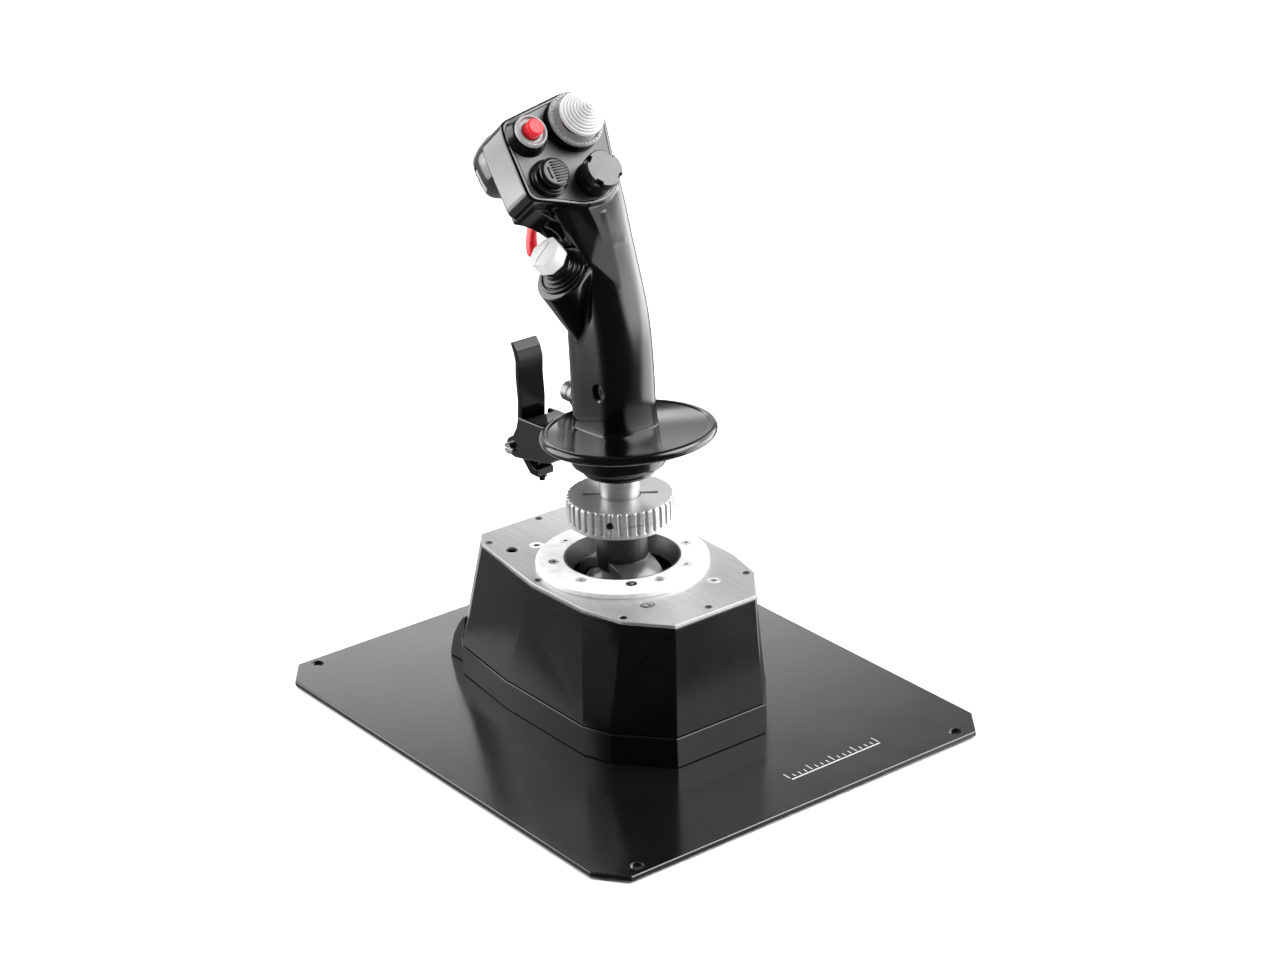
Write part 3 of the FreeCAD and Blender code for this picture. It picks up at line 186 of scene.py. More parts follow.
MATS = {
    "plate_paint": black_paint("plate_paint", 0.0035, 0.16, 0.8, grain=2600, depth=3e-6, rub_and_highlight=0.0007,
                               haze=0.015),
    "pad_rubber": black_paint("pad_rubber", 0.02, 0.85, 0.3, grain=900, depth=2e-5),
    "dark_screw": metal("dark_screw", 0.10, 0.35),
    "base_plastic": black_paint("base_plastic", 0.003, 0.22, 0.5, grain=1800, depth=3e-6, rub_and_highlight=0.0006),
    "housing_plastic": black_paint("housing_plastic", 0.0025, 0.20, 0.40, grain=1700, depth=3e-6, rub_and_highlight=0.0006),
    "brushed_plate": metal("brushed_plate", 0.62, 0.44, (55, 1.3, 1), 160, 6e-6, 0.4, 0.0005, 0.87),
    "bright_ring": metal("bright_ring", 0.90, 0.55, (1, 1, 1), 1100, 3e-6, 0.0, 0.0005, 0.40),
    "bright_screw": metal("bright_screw", 0.55, 0.25),
    "lip_paint": black_paint("lip_paint", 0.05, 0.34, 0.6),
    "connector_metal": metal("connector_metal", 0.6, 0.3),
    "board": black_paint("board", 0.03, 0.5),
    "inner_plastic": black_paint("inner_plastic", 0.015, 0.5),
    "gimbal_metal": black_paint("gimbal_metal", 0.05, 0.20, 0.8, 0.0, 900, 3e-6),
    "post_paint": black_paint("post_paint", 0.006, 0.34, 0.5),
    "nut_metal": metal("nut_metal", 0.52, 0.34, (1, 1, 22), 120, 5e-6, 0.0, 0.0004, 0.70),
    "neck_metal": metal("neck_metal", 0.34, 0.28, (1, 1, 30), 150, 4e-6, 0.3),
    "grip_paint": black_paint("grip_paint", 0.0012, 0.15, 0.55, 0.25, grain=900, depth=2.5e-6),
    "panel_paint": black_paint("panel_paint", 0.006, 0.34, 0.7, grain=1800, depth=4e-6),
    "lever_paint": black_paint("lever_paint", 0.0012, 0.20, 0.25, grain=1700, depth=4e-6, rub_and_highlight=0.0005),
    "switch_black": black_paint("switch_black", 0.0025, 0.22, 0.5),
    "castle_grey": black_paint("castle_grey", 0.006, 0.36, 0.8),
    "pinky_metal": metal("pinky_metal", 0.22, 0.40),
}
red = Shader("button_red", (0.62, 0.012, 0.022), 0.28, specular=0.3, coat=0.1)
MATS["button_red"] = red.tone(60, 0.12).gloss(90, 0.05).bump(1200, 2e-6).done()
white = Shader("cap_white", (0.52, 0.52, 0.515), 0.46, specular=0.3)
MATS["cap_white"] = white.tone(50, 0.03).gloss(120, 0.06).bump(1500, 5e-6).done()

dial = Shader("dial_grey", (0.26, 0.26, 0.265), 0.38)
MATS["dial_grey"] = dial.tone(400, 0.12).gloss(300, 0.08).bump(900, 4e-6).done()

SLOT_OF = {row["node"]: row["material_slot"] for row in frame["record"]["subparts"]}
BODY_OF = {node: body for body, members in frame["record"]["behaviour"]["bodies"].items() for node in members}


def paint(obj, key):
    obj.data.materials.clear()
    obj.data.materials.append(MATS[key])


for node_name, node_object in NODES.items():
    paint(node_object, SLOT_OF[node_name])


def new_object(name, mesh):
    obj = bpy.data.objects.new(name, mesh)
    bpy.context.scene.collection.objects.link(obj)
    return obj


def from_bmesh(name, bm):
    mesh = bpy.data.meshes.new(name)
    bm.to_mesh(mesh)
    bm.free()
    return new_object(name, mesh)


def bake(obj):
    """Replace an object's mesh by what its modifiers make of it."""
    bpy.context.view_layer.update()
    graph = bpy.context.evaluated_depsgraph_get()
    mesh = bpy.data.meshes.new_from_object(obj.evaluated_get(graph))
    obj.modifiers.clear()
    obj.data = mesh
    return obj


def smooth(obj, angle=35):
    for polygon in obj.data.polygons:
        polygon.use_smooth = True
    obj.data.set_sharp_from_angle(angle=math.radians(angle))
    return obj


def install(obj, *nodes, key=None):
    """Paint a finished piece, put it on its nodes' body and let it stand for them."""
    first = nodes[0]
    paint(obj, key or SLOT_OF[first])
    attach(obj, BODY_OF[first])
    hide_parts(*nodes)
    return obj


# ---------------------------------------------------------------- shape helpers
def turn_to(origin, axis):
    """A frame at a point in millimetres whose z axis lies along a direction."""
    turn = Vector((0, 0, 1)).rotation_difference(Vector(axis).normalized())
    return Matrix.Translation(Vector(origin) * MM) @ turn.to_matrix().to_4x4()


def lift(frame_matrix, x=0.0, y=0.0, z=0.0):
    return frame_matrix @ Matrix.Translation(Vector((x, y, z)) * MM)


PANEL = Matrix.Translation(Vector((0, 38.3, 348.1)) * MM) @ Matrix.Rotation(math.radians(50.8), 4, "X")
SIDE_AXIS = (-0.68, 0, 0.733)
SIDE = turn_to((-25, 10, 267.5), SIDE_AXIS)
SIDE_RIM = turn_to((-26.3, 10, 266.3), SIDE_AXIS)
MARK = turn_to((-24.5, 16.5, 288.5), (-0.8, 0, -0.6))
PINKY = turn_to((0, 0, 181), (0, 1, 0))
DISC = Matrix.Translation(Vector((0, -9.9, 172.4)) * MM) @ Matrix.Rotation(math.radians(-4), 4, "X")
UPRIGHT = Matrix.Identity(4)
SIDEWAYS = Matrix(((0, 0, 1, 0), (1, 0, 0, 0), (0, 1, 0, 0), (0, 0, 0, 1)))  # raises an outline along x
HEAD = [(-42, 0.5), (5, 9), (19, 6), (23.5, -10), (12.5, -51), (2, -57.5), (-14, -57), (-45.5, -46),
        (-44, -8)]


def soften(points, reach, steps=4, closed=True):
    """Corners of a polyline replaced by short curves; reach is one length or one for each corner."""
    result, count = [], len(points)
    for k, point in enumerate(points):
        if not closed and k in (0, count - 1):
            result.append(tuple(point))
            continue
        here = Vector(point)
        before, after = Vector(points[k - 1]), Vector(points[(k + 1) % count])
        size = reach[k] if isinstance(reach, (list, tuple)) else reach
        back = min(size, 0.45 * (before - here).length)
        ahead = min(size, 0.45 * (after - here).length)
        if size <= 0 or min(back, ahead) < 1e-6:
            result.append(tuple(here))
            continue
        first = here + (before - here).normalized() * back
        last = here + (after - here).normalized() * ahead
        for i in range(steps + 1):
            t = i / steps
            result.append(tuple(first * (1 - t) ** 2 + here * 2 * t * (1 - t) + last * t ** 2))
    return result


def inset(points, step):
    """The same corners moved inwards by a step, for a clockwise outline."""
    result = []
    for k, point in enumerate(points):
        here = Vector(point)
        u = (here - Vector(points[k - 1])).normalized()
        v = (Vector(points[(k + 1) % len(points)]) - here).normalized()
        side_u, side_v = Vector((u.y, -u.x)), Vector((v.y, -v.x))
        mitre = (side_u + side_v).normalized()
        result.append(tuple(here + mitre * (step / mitre.dot(side_u))))
    return result


def stitch(bm, rows, closed=True):
    """Quads between rows of vertices; a row of one vertex is a pole."""
    for low, high in zip(rows, rows[1:]):
        count = max(len(low), len(high))
        for k in range(count if closed else count - 1):
            following = k + 1
            corners = []
            for vert in (low[k % len(low)], low[following % len(low)],
                         high[following % len(high)], high[k % len(high)]):
                if vert not in corners:
                    corners.append(vert)
            if len(corners) > 2:
                bm.faces.new(corners)


def lathe(name, profile, place=UPRIGHT, segments=96, loop=False, angle=40):
    """A turned piece: (radius, height) pairs in millimetres spun about the frame's z axis."""
    bm = bmesh.new()
    rows = []
    for radius, height in profile:
        count = segments if radius > 1e-6 else 1
        rows.append([bm.verts.new(place @ Vector((radius * MM * math.cos(2 * math.pi * k / segments),
                                                  radius * MM * math.sin(2 * math.pi * k / segments),
                                                  height * MM))) for k in range(count)])
    stitch(bm, rows + rows[:1] if loop else rows)
    bmesh.ops.recalc_face_normals(bm, faces=bm.faces)
    return smooth(from_bmesh(name, bm), angle)


def round_edges(obj, width, segments=3, angle=30):
    """A piece with its sharp edges rounded to a width in millimetres."""
    bevel = obj.modifiers.new("edge", "BEVEL")
    bevel.width, bevel.segments = width * MM, segments
    bevel.limit_method, bevel.angle_limit = "ANGLE", math.radians(angle)
    bevel.use_clamp_overlap = False
    bevel.harden_normals = True
    for polygon in obj.data.polygons:
        polygon.use_smooth = True
    return bake(obj)


def prism(name, outline, low, high, place=UPRIGHT, edge=None):
    """An outline in millimetres raised between two levels of a frame."""
    bm = bmesh.new()
    rings = [[bm.verts.new(place @ (Vector((x, y, z)) * MM)) for x, y in outline] for z in (low, high)]
    bm.faces.new(rings[0])
    bm.faces.new(rings[1])
    stitch(bm, rings)
    bmesh.ops.recalc_face_normals(bm, faces=bm.faces)
    obj = from_bmesh(name, bm)
    return round_edges(obj, edge) if edge else obj


def hull(name, points):
    """The closed convex form round some points, in millimetres."""
    bm = bmesh.new()
    for point in points:
        bm.verts.new(Vector(point) * MM)
    found = bmesh.ops.convex_hull(bm, input=bm.verts)
    left_over = set(found["geom_interior"] + found["geom_unused"])
    loose = [v for v in left_over if isinstance(v, bmesh.types.BMVert)]
    bmesh.ops.delete(bm, geom=loose, context="VERTS")
    bmesh.ops.recalc_face_normals(bm, faces=bm.faces)
    return from_bmesh(name, bm)


def merge(name, objects):
    """Several meshes as one object."""
    bm = bmesh.new()
    for obj in objects:
        bm.from_mesh(obj.data)
        bpy.data.objects.remove(obj)
    return from_bmesh(name, bm)


def carve(obj, *tools):
    """Cut tools out of a piece."""
    for tool in tools:
        cutter = obj.modifiers.new("cut", "BOOLEAN")
        cutter.operation, cutter.solver, cutter.object = "DIFFERENCE", "EXACT", tool
    bake(obj)
    for tool in tools:
        bpy.data.objects.remove(tool)
    return obj


def rod(name, radius, low, high, place=UPRIGHT, segments=64):
    return lathe(name, [(0, low), (radius, low), (radius, high), (0, high)], place, segments)


def in_panel(x, y, z):
    return tuple(PANEL @ (Vector((x, y, z)) * MM) / MM)


def edged(node, width):
    """A CAD node with its sharp edges rounded, as moulded, cast or deburred parts have them."""
    bm = bmesh.new()
    bm.from_mesh(NODES[node].data)
    bmesh.ops.remove_doubles(bm, verts=bm.verts, dist=2e-6)
    bmesh.ops.dissolve_limit(bm, angle_limit=math.radians(0.8), verts=bm.verts, edges=bm.edges)
    return install(round_edges(smooth(from_bmesh(node + "_rounded", bm), 28), width, 2, 28), node)


for edged_node, edge_width in (("desk_plate", 0.3), ("base_skirt", 0.7), ("base_housing", 0.8),
                               ("top_plate", 0.4), ("rear_cover", 1.0)):
    edged(edged_node, edge_width)

# ---------------------------------------------------------------- grip casting
# Stations up the handle: height, rear face, front face, half width.
STATIONS = [(166, -21.6, 25.5, 19.4), (178, -20.4, 26.5, 18.6), (207, -20, 28, 18.0),
            (240, -16.8, 29.5, 17.8), (262, -10.8, 32, 17.5), (284, -3.6, 38, 17.5),
            (300, 1.6, 45, 18.0), (318, 9.5, 54, 18.5)]
HANDLE_FOOT = 170
HANDLE_TOP = -1.4  # in the panel's frame
DISC_SLOPE = 0.0699


def between(table, level):
    """Smooth values at a level between a table's rows, whose first number is the level."""
    last_span = len(table) - 2
    reached = next((i for i, row in enumerate(table[1:]) if level <= row[0]), last_span)
    k = max(0, min(last_span, reached))
    before, low, high, after = table[max(0, k - 1)], table[k], table[k + 1], table[min(len(table) - 1, k + 2)]
    span = high[0] - low[0]
    t = (level - low[0]) / span
    result = []
    for column in range(1, len(table[0])):
        start, end = (row_slope(*rows, column) for rows in ((before, low, high), (low, high, after)))
        result.append((2 * t ** 3 - 3 * t * t + 1) * low[column] + (t ** 3 - 2 * t * t + t) * span * start
                      + (3 * t * t - 2 * t ** 3) * high[column] + (t ** 3 - t * t) * span * end)
    return result


def row_slope(before, row, after, column):
    """Slope of a column at a row, weighted for uneven spacing.

    At a table's end the missing neighbour is the row itself.
    """
    below, above = row[0] - before[0], after[0] - row[0]
    rise = (row[column] - before[column]) / below if below else None
    climb = (after[column] - row[column]) / above if above else None
    if rise is None or climb is None:
        return climb if rise is None else rise
    return (rise * above + climb * below) / (below + above)


def eased(table, level):
    """Values at a level averaged over the levels near it, which keeps the highlights even."""
    near = [between(table, level + step) for step in (-8, -4, 0, 4, 8)]
    return [sum(column) / len(near) for column in zip(*near)]


def grip_section(level):
    """Outline of the handle at a height: flat sides that end in a crease, a rounded rear and front."""
    rear, front, half = eased(STATIONS, level)
    crease = 1.3 + 4.5 * max(0.0, (level - 250) / 50) + 2.5 * max(0.0, (192 - level) / 20)
    corners = [(0.0, rear, 6), (0.52, rear + 1.0, 9), (0.88, rear + 4.6, 6), (1.0, rear + 9.8, crease),
               (1.0, front - 12, 8), (0.80, front - 4, 6), (0.42, front - 0.3, 6), (0.0, front, 4)]
    loop = corners + [(-x, y, r) for x, y, r in reversed(corners[1:-1])]
    return soften([(x * half, y) for x, y, _ in loop], [r for *_, r in loop], 5)


def handle():
    """The handle up to just under the panel; its foot flares and follows the tilted disc."""
    bm = bmesh.new()
    rows = []
    levels = [HANDLE_FOOT + 2.0 * k for k in range(4, 75)]
    for level in [HANDLE_FOOT + rise for rise in (0, 0.8, 1.6, 2.6, 4, 6)] + levels:
        flare = 1.0 + 0.08 * math.exp(-(level - HANDLE_FOOT) / 1.5)
        seated = max(0.0, 1 - (level - HANDLE_FOOT) / 14)
        ring = []
        for x, y in grip_section(max(level, HANDLE_FOOT + 1)):
            z = level + seated * (3.0 - DISC_SLOPE * (y + 9.9))
            ring.append(bm.verts.new(Vector((x * flare, y * flare, z)) * MM))
        rows.append(ring)
    stitch(bm, rows)
    bm.faces.new(rows[0])
    bm.faces.new(rows[-1])
    found = bmesh.ops.bisect_plane(bm, geom=list(bm.verts) + list(bm.edges) + list(bm.faces),
                                   plane_co=PANEL @ Vector((0, 0, HANDLE_TOP * MM)),
                                   plane_no=PANEL.to_3x3() @ Vector((0, 0, 1)), clear_outer=True)
    bmesh.ops.edgeloop_fill(bm, edges=[e for e in found["geom_cut"] if isinstance(e, bmesh.types.BMEdge)])
    bmesh.ops.recalc_face_normals(bm, faces=bm.faces)
    return from_bmesh("handle_form", bm)


def loft_rings(name, rings):
    """A closed form through rings of points in millimetres."""
    bm = bmesh.new()
    rows = [[bm.verts.new(Vector(point) * MM) for point in ring] for ring in rings]
    stitch(bm, rows)
    bm.faces.new(rows[0])
    bm.faces.new(rows[-1])
    bmesh.ops.recalc_face_normals(bm, faces=bm.faces)
    return from_bmesh(name, bm)


def circle_in(place, radius, height=0.0, count=64):
    """Points round a circle of a frame, in millimetres."""
    angles = [2 * math.pi * k / count for k in range(count)]
    points = [Vector((radius * math.cos(angle), radius * math.sin(angle), height)) for angle in angles]
    return [tuple(place @ (point * MM) / MM) for point in points]


def fillet_form():
    """The hollow that runs from the head's underside down the left of the handle to the side switch."""
    start, middle, stop = Vector((-41, -47.5)), Vector((-20, -54.5)), Vector((-18, -87))
    hollow = [start * (1 - t) ** 2 + middle * 2 * t * (1 - t) + stop * t * t
              for t in (k / 16 for k in range(17))]
    outline = [tuple(point) for point in hollow] + [(-8, -87), (-8, -46), (-41, -43)]
    bm = bmesh.new()
    upper = [(x, y, -11 + 3.0 * min(0.0, y + 50) / 37) for x, y in outline]
    lower = [(x, y, -31) for x, y in outline]
    rows = [[bm.verts.new(PANEL @ (Vector(point) * MM)) for point in row] for row in (upper, lower)]
    stitch(bm, rows)
    bm.faces.new(rows[0])
    bm.faces.new(rows[1])
    bmesh.ops.recalc_face_normals(bm, faces=bm.faces)
    return from_bmesh("fillet_form", bm)


def grip_casting():
    """Handle, head and side pod blended into one skin, then cut for the panel, switches and trigger."""
    head = prism("head_form", soften(HEAD, 5.5, 5), -26, 0, PANEL, 1.1)
    pod = hull("pod_form", circle_in(SIDE_RIM, 16.6, -1.6) + circle_in(SIDE_RIM, 16.6)
               + [(-18, -5, 274.2), (-12, -5, 274.2)] + circle_in(turn_to((-12.5, 11, 226), SIDE_AXIS), 5.2))
    corner = [(-48, -20), (-48, -42), (-33, -59), (-29.6, -59), (-29.6, -20)]
    block = prism("block_form", soften(corner, 2, 3), -19, 3, PANEL @ SIDEWAYS, 1.5)
    rear = between(STATIONS, 280)[0]
    throat = hull("throat_form", [in_panel(*point) for point in (
        (-13, -56, -1.2), (2, -56.6, -1.2), (11.4, -50.4, -1.2), (14, -42, -1.2), (14, -42, -24),
        (-20, -50, -2), (-20, -48, -24))]
        + [(-15, rear + 5, 280), (-7, rear + 0.6, 280), (0, rear, 280), (7, rear + 0.6, 280),
           (15, rear + 5, 280), (-15, 20, 280), (15, 20, 280)])
    wedge = fillet_form()
    shoulder = hull("shoulder_form", [
        (-18, 1.5, 289), (-18.2, -5.2, 274.2), (-17.6, -2.6, 262), (-22.4, 5.6, 297), (-8, 15, 300),
        (-24, 8, 305), (-30, 12, 306), (-8, 6, 304)]
        + [(x, between(STATIONS, z)[0] + 0.1 + 0.02 * x * x, z) for x in (-5, -1)
           for z in (258, 266, 275, 286, 298)]
        + [(-8, 15, 258), (-16, 12, 262)])
    skin = merge("grip_casting", [head, pod, block, throat, wedge, shoulder, handle()])
    remesh = skin.modifiers.new("cast", "REMESH")
    remesh.mode, remesh.voxel_size = "VOXEL", (0.00055)
    even = skin.modifiers.new("even", "SMOOTH")
    even.factor, even.iterations = 0.5, 14
    bake(skin)
    carve(skin, prism("panel_room", soften(inset(HEAD, 2.3), 3.6, 5), -2.2, 2, PANEL))
    recess = [(0, -33), (5.7, -33), (5.7, -18.4), (4.5, -17.2), (4.5, -15.4), (0, -15.4)]
    carve(skin, lathe("screw_recess", recess, turn_to((0, -7.7, 199.6), (1, 0, 0)), 64))
    carve(skin, rod("mark_room", 6.5, -7, 12, MARK), rod("pod_room", 12.6, -3, 12, SIDE),
          rod("pod_step", 15.0, -0.8, 12, SIDE),
          prism("trigger_room", [(-12.6, 44.5), (-5.4, 44.5), (-5.4, 78), (-12.6, 78)], 250, 294))
    return install(smooth(skin, 38), "grip_left_shell", "grip_right_shell", "head_shell")


grip_casting()

# ---------------------------------------------------------------- head: panel, nose, trigger
install(prism("panel_plate", soften(inset(HEAD, 2.6), 3.3, 5), -2, 0, PANEL, 0.3), "head_panel")

# Stations down the nose in the panel's frame: depth, left, right, low, high.
NOSE = [(25.6, -42.6, 18.4, -27.7, 4.9), (38, -41.5, 17.5, -27.4, 4.0), (46, -39.4, 16.2, -26.8, 2.6),
        (52, -35.0, 12.8, -25.4, -0.6), (56.4, -28.6, 7.0, -22.6, -5.0), (58.6, -21.0, -0.5, -18.4, -9.6)]


def nose():
    """The rounded front cover: squarish rings that close towards a tip, with a slot in its left side."""
    bm = bmesh.new()
    rows = []
    for step in range(25):
        depth = NOSE[0][0] + (NOSE[-1][0] - NOSE[0][0]) * (1 - (1 - step / 24) ** 1.7)
        left, right, low, high = between(NOSE, depth)
        ring = []
        for k in range(72):
            angle = 2 * math.pi * k / 72
            x, y = (math.copysign(abs(v) ** 0.52, v) for v in (math.cos(angle), math.sin(angle)))
            across = (left + right) / 2 + x * (right - left) / 2
            along = (low + high) / 2 + y * (high - low) / 2
            ring.append(bm.verts.new(PANEL @ (Vector((across, along, -depth)) * MM)))
        rows.append(ring)
    rows.append([bm.verts.new(PANEL @ (Vector((-10.8, -14, -59.3)) * MM))])
    stitch(bm, rows)
    bm.faces.new(rows[0])
    bmesh.ops.recalc_face_normals(bm, faces=bm.faces)
    body = smooth(from_bmesh("nose_casting", bm), 50)
    slot = prism("nose_slot", soften([(-3.2, -7), (3.2, -7), (3.2, 7), (-3.2, 7)], 1.5), -2.5, 6,
                 lift(PANEL, -41, -14, -44) @ Matrix.Rotation(math.radians(-90), 4, "Y"))
    return install(carve(body, slot), "nose_cover")


nose()


def trigger_form():
    """A blade that swells into a rounded toe.

    A station is a height, the rear face, the front face and half the width.
    """
    stations = [(292.5, 53.4, 60.6, 1.7), (287, 53.6, 60.8, 1.7), (281, 54.6, 61.6, 1.8),
                (275, 57.2, 63.6, 2.1), (270, 58.4, 64.4, 2.5), (265.5, 58.4, 64.5, 2.9),
                (262, 57.8, 64.2, 2.9), (259.8, 58.6, 63.6, 2.6), (258.7, 59.8, 62.6, 1.9)]
    table = [(-row[0], *row[1:]) for row in stations]
    rings = []
    for k in range(35):
        level = 292.5 - 33.8 * (1 - (1 - k / 34) ** 1.4)
        rear, front, half = between(table, -level)
        ring = []
        for n in range(28):
            turn = math.tau * n / 28
            x, y = (math.copysign(abs(v) ** 0.6, v) for v in (math.cos(turn), math.sin(turn)))
            ring.append((-9 + half * x, (rear + front) / 2 + y * (front - rear) / 2, level))
        rings.append(ring)
    return smooth(loft_rings("trigger_blade", rings), 50)


install(trigger_form(), "trigger")


# ---------------------------------------------------------------- turned pieces
def ring_profile(bore, outside, reach=0.5):
    """A turned ring: its outside corners from low to high, closed along the bore."""
    low, high = outside[0][1], outside[-1][1]
    return soften([(bore, low)] + list(outside) + [(bore, high)], reach, 4)


def turned_ring(name, bore, outside, place, node, reach=0.5, segments=96, key=None):
    return install(lathe(name, ring_profile(bore, outside, reach), place, segments, loop=True), node, key=key)


def turned(name, outline, place, node, reach=0.5, segments=96):
    closed = [(0, outline[0][1])] + outline + [(0, outline[-1][1])]
    return install(lathe(name, soften(closed, reach, 4, False), place, segments), node)


collar_steps = [(18.6, 146.1), (20.6, 146.9), (21, 148.3), (21, 149.9), (22.8, 150.4), (23.2, 151.5),
                (25.4, 151.9), (26.6, 152.6), (27.2, 154.4), (28.4, 165.5), (28.4, 167.9)]
turned_ring("collar_turned", 6, collar_steps, UPRIGHT, "grip_collar", 0.6, 128)
bead_angles = [math.radians(degrees) for degrees in range(-142, 129, 10)]
bead = [(46.5 + 3.0 * math.cos(angle), 3.0 * math.sin(angle)) for angle in bead_angles]
disc_points = [(0, -1.7), (43.0, -1.7)] + bead + [(44.2, 2.2), (0, 2.2)]
install(lathe("disc_turned", disc_points, DISC, 192), "hand_rest_disc")
neck_steps = [(8.9, 108.4), (8.9, 126.3), (14.1, 126.4), (14.1, 129.1), (11.4, 129.2), (11.4, 146)]
turned("neck_turned", neck_steps, UPRIGHT, "neck", 0.2)

TRIM, WEAPON = lift(PANEL, -0.7, -10.9), lift(PANEL, -31, -11.2)
RIBBED, CASTLE = lift(PANEL, -29.1, -37.2), lift(PANEL, -3, -44)
turned_ring("trim_bezel_turned", 6.4, [(16.5, 0), (16.4, 1.2), (15.7, 5.4)], TRIM, "trim_bezel")
turned_ring("trim_dial_turned", 9, [(16, 5.5), (16, 7.3), (15.3, 8.1), (14.1, 8.1), (13.7, 6.4)], TRIM,
            "trim_ring_dial", 0.25, 128, "dial_grey")
tiers = [(11.2, 11.8), (12.7, 12.3), (13.0, 13.4), (13.0, 14.3)]
for k in range(9):
    radius, level = 13.0 - 1.36 * k, 14.3 + 1.18 * k
    tiers += [(radius - 0.06, level + 0.62), (radius - 0.40, level + 0.98), (radius - 0.95, level + 1.02),
              (radius - 1.48, level + 0.66), (radius - 1.50, level + 0.90), (radius - 1.36, level + 1.18)]
turned("trim_cone_turned", [(2.2, 2.9), (2.2, 11.7)] + tiers + [(0.5, 25.1)], TRIM, "trim_cap", 0.16, 160)

turned_ring("weapon_bezel_turned", 5.3, [(12.2, 0), (12.0, 0.8), (10.2, 5.0), (9.6, 6.0)], WEAPON,
            "weapon_bezel", 0.7)
weapon_steps = [(9.4, 6.0), (9.4, 7.6), (9.0, 8.5), (8.2, 8.7), (7.7, 8.2), (7.4, 6.9)]
turned_ring("weapon_collar_turned", 5.3, weapon_steps, WEAPON, "weapon_collar", 0.35, 96, "dial_grey")
turned("weapon_button_turned", [(4.9, 2.6), (4.9, 12.7), (4.3, 13.6), (3.2, 13.7), (2.4, 13.55)], WEAPON,
       "weapon_button", 0.35)
ribbed_steps = [(10.9, 0), (10.8, 2.2), (10.2, 3.0), (9.6, 3.1), (9.3, 4.5), (8.6, 4.8)]
turned_ring("ribbed_bezel_turned", 6.4, ribbed_steps, RIBBED, "ribbed_bezel")
castle_steps = [(10.4, 0), (10.3, 2.0), (9.7, 6.0), (9.4, 6.5)]
turned_ring("castle_bezel_turned", 6.4, castle_steps, CASTLE, "castle_bezel")
side_collars = [(14.8, -0.6), (14.8, 0.9), (14.2, 1.4), (13.3, 1.4), (13.1, 0.8), (12.4, 0.8), (12.3, 1.9),
                (11.7, 2.3), (10.7, 2.3), (10.6, 3.7), (9.9, 4.2), (9.1, 4.3), (9.0, 6.2), (8.5, 6.8)]
turned_ring("side_bezel_turned", 6.4, side_collars, SIDE, "side_bezel", 0.35, 128)
turned_ring("pinky_bezel_turned", 6.2, [(7.9, 22.5), (7.9, 33.8), (7.3, 34.5)], PINKY, "pinky_bezel")
pinky_sides = [(5.9, 25.5), (5.9, 39.0), (5.6, 39.3), (5.6, 39.8), (5.9, 40.1), (5.9, 45.3), (5.0, 46.3),
               (3.0, 46.2)]
turned("pinky_button_turned", pinky_sides, PINKY, "pinky_button", 0.25)


def ribbed_cap():
    """A dished cap with ribs on one half and a bar across the other."""
    outline = [(0, 1.5), (2.2, 1.5), (2.2, 6.8), (8.4, 6.9), (8.9, 7.8), (8.5, 9.2), (7.2, 9.9), (0, 10.1)]
    parts = [lathe("ribbed_form", soften(outline, 0.7, 5, False), RIBBED)]
    for k in range(8):
        y = -5.6 + 1.6 * k
        reach = math.sqrt(max(0.0, 7.7 ** 2 - y * y))
        parts.append(prism("rib", [(-1.6, y - 0.40), (reach, y - 0.40), (reach, y + 0.40), (-1.6, y + 0.40)],
                           9.4, 10.8, RIBBED, 0.22))
    parts.append(prism("rib", [(-4.2, -3.4), (-3.0, -3.4), (-3.0, 3.4), (-4.2, 3.4)], 9.4, 10.6, RIBBED,
                       0.25))
    return install(smooth(merge("ribbed_cap_moulded", parts)), "ribbed_cap")


ribbed_cap()


def castle_cap():
    """A broad drum with four notches in its crown."""
    outline = [(0, 2.5), (2.2, 2.5), (2.2, 8.4), (10.0, 8.5), (10.8, 9.3), (10.9, 15.0), (10.4, 15.6),
               (0, 15.6)]
    drum = lathe("castle_cap_moulded", soften(outline, 0.35, 4, False), CASTLE, 128)
    notches = [prism("notch", [(8.6, -2.2), (12.5, -2.2), (12.5, 2.2), (8.6, 2.2)], 12.2, 18,
                     CASTLE @ Matrix.Rotation(math.radians(45 + 90 * k), 4, "Z")) for k in range(4)]
    drum = carve(drum, *notches)
    return install(smooth(drum, 30), "castle_cap")


castle_cap()


def side_cap():
    """The eight-sided knob with a ridge across its top and a dark line along the ridge."""
    outline = [(9.8 * math.cos(math.pi * k / 4), 9.8 * math.sin(math.pi * k / 4)) for k in range(8)]
    ridge_level, ridge_angle = 19.5, math.radians(8)
    bm = bmesh.new()
    knob = prism("knob_form", outline, 10, ridge_level, SIDE)
    bm.from_mesh(knob.data)
    bpy.data.objects.remove(knob)
    for sign in (-1, 1):
        normal = SIDE.to_3x3() @ Vector((0, sign * math.sin(ridge_angle), math.cos(ridge_angle)))
        bmesh.ops.bisect_plane(bm, geom=list(bm.verts) + list(bm.edges) + list(bm.faces),
                               plane_co=SIDE @ Vector((0, 0, ridge_level * MM)), plane_no=normal,
                               clear_outer=True)
        bmesh.ops.holes_fill(bm, edges=[e for e in bm.edges if e.is_boundary])
    bmesh.ops.recalc_face_normals(bm, faces=bm.faces)
    knob = round_edges(from_bmesh("knob_form", bm), 0.7, 3, 15)
    stem = rod("knob_stem", 2.2, 3.5, 10.4, SIDE)
    install(smooth(merge("side_knob_moulded", [knob, stem]), 25), "side_cap")
    stroke = [(-6.5, -0.22), (6.5, -0.22), (6.5, 0.22), (-6.5, 0.22)]
    line = prism("side_knob_line", stroke, 19.1, 19.52, SIDE, 0.05)
    paint(line, "switch_black")
    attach(line, "side_cap")


side_cap()


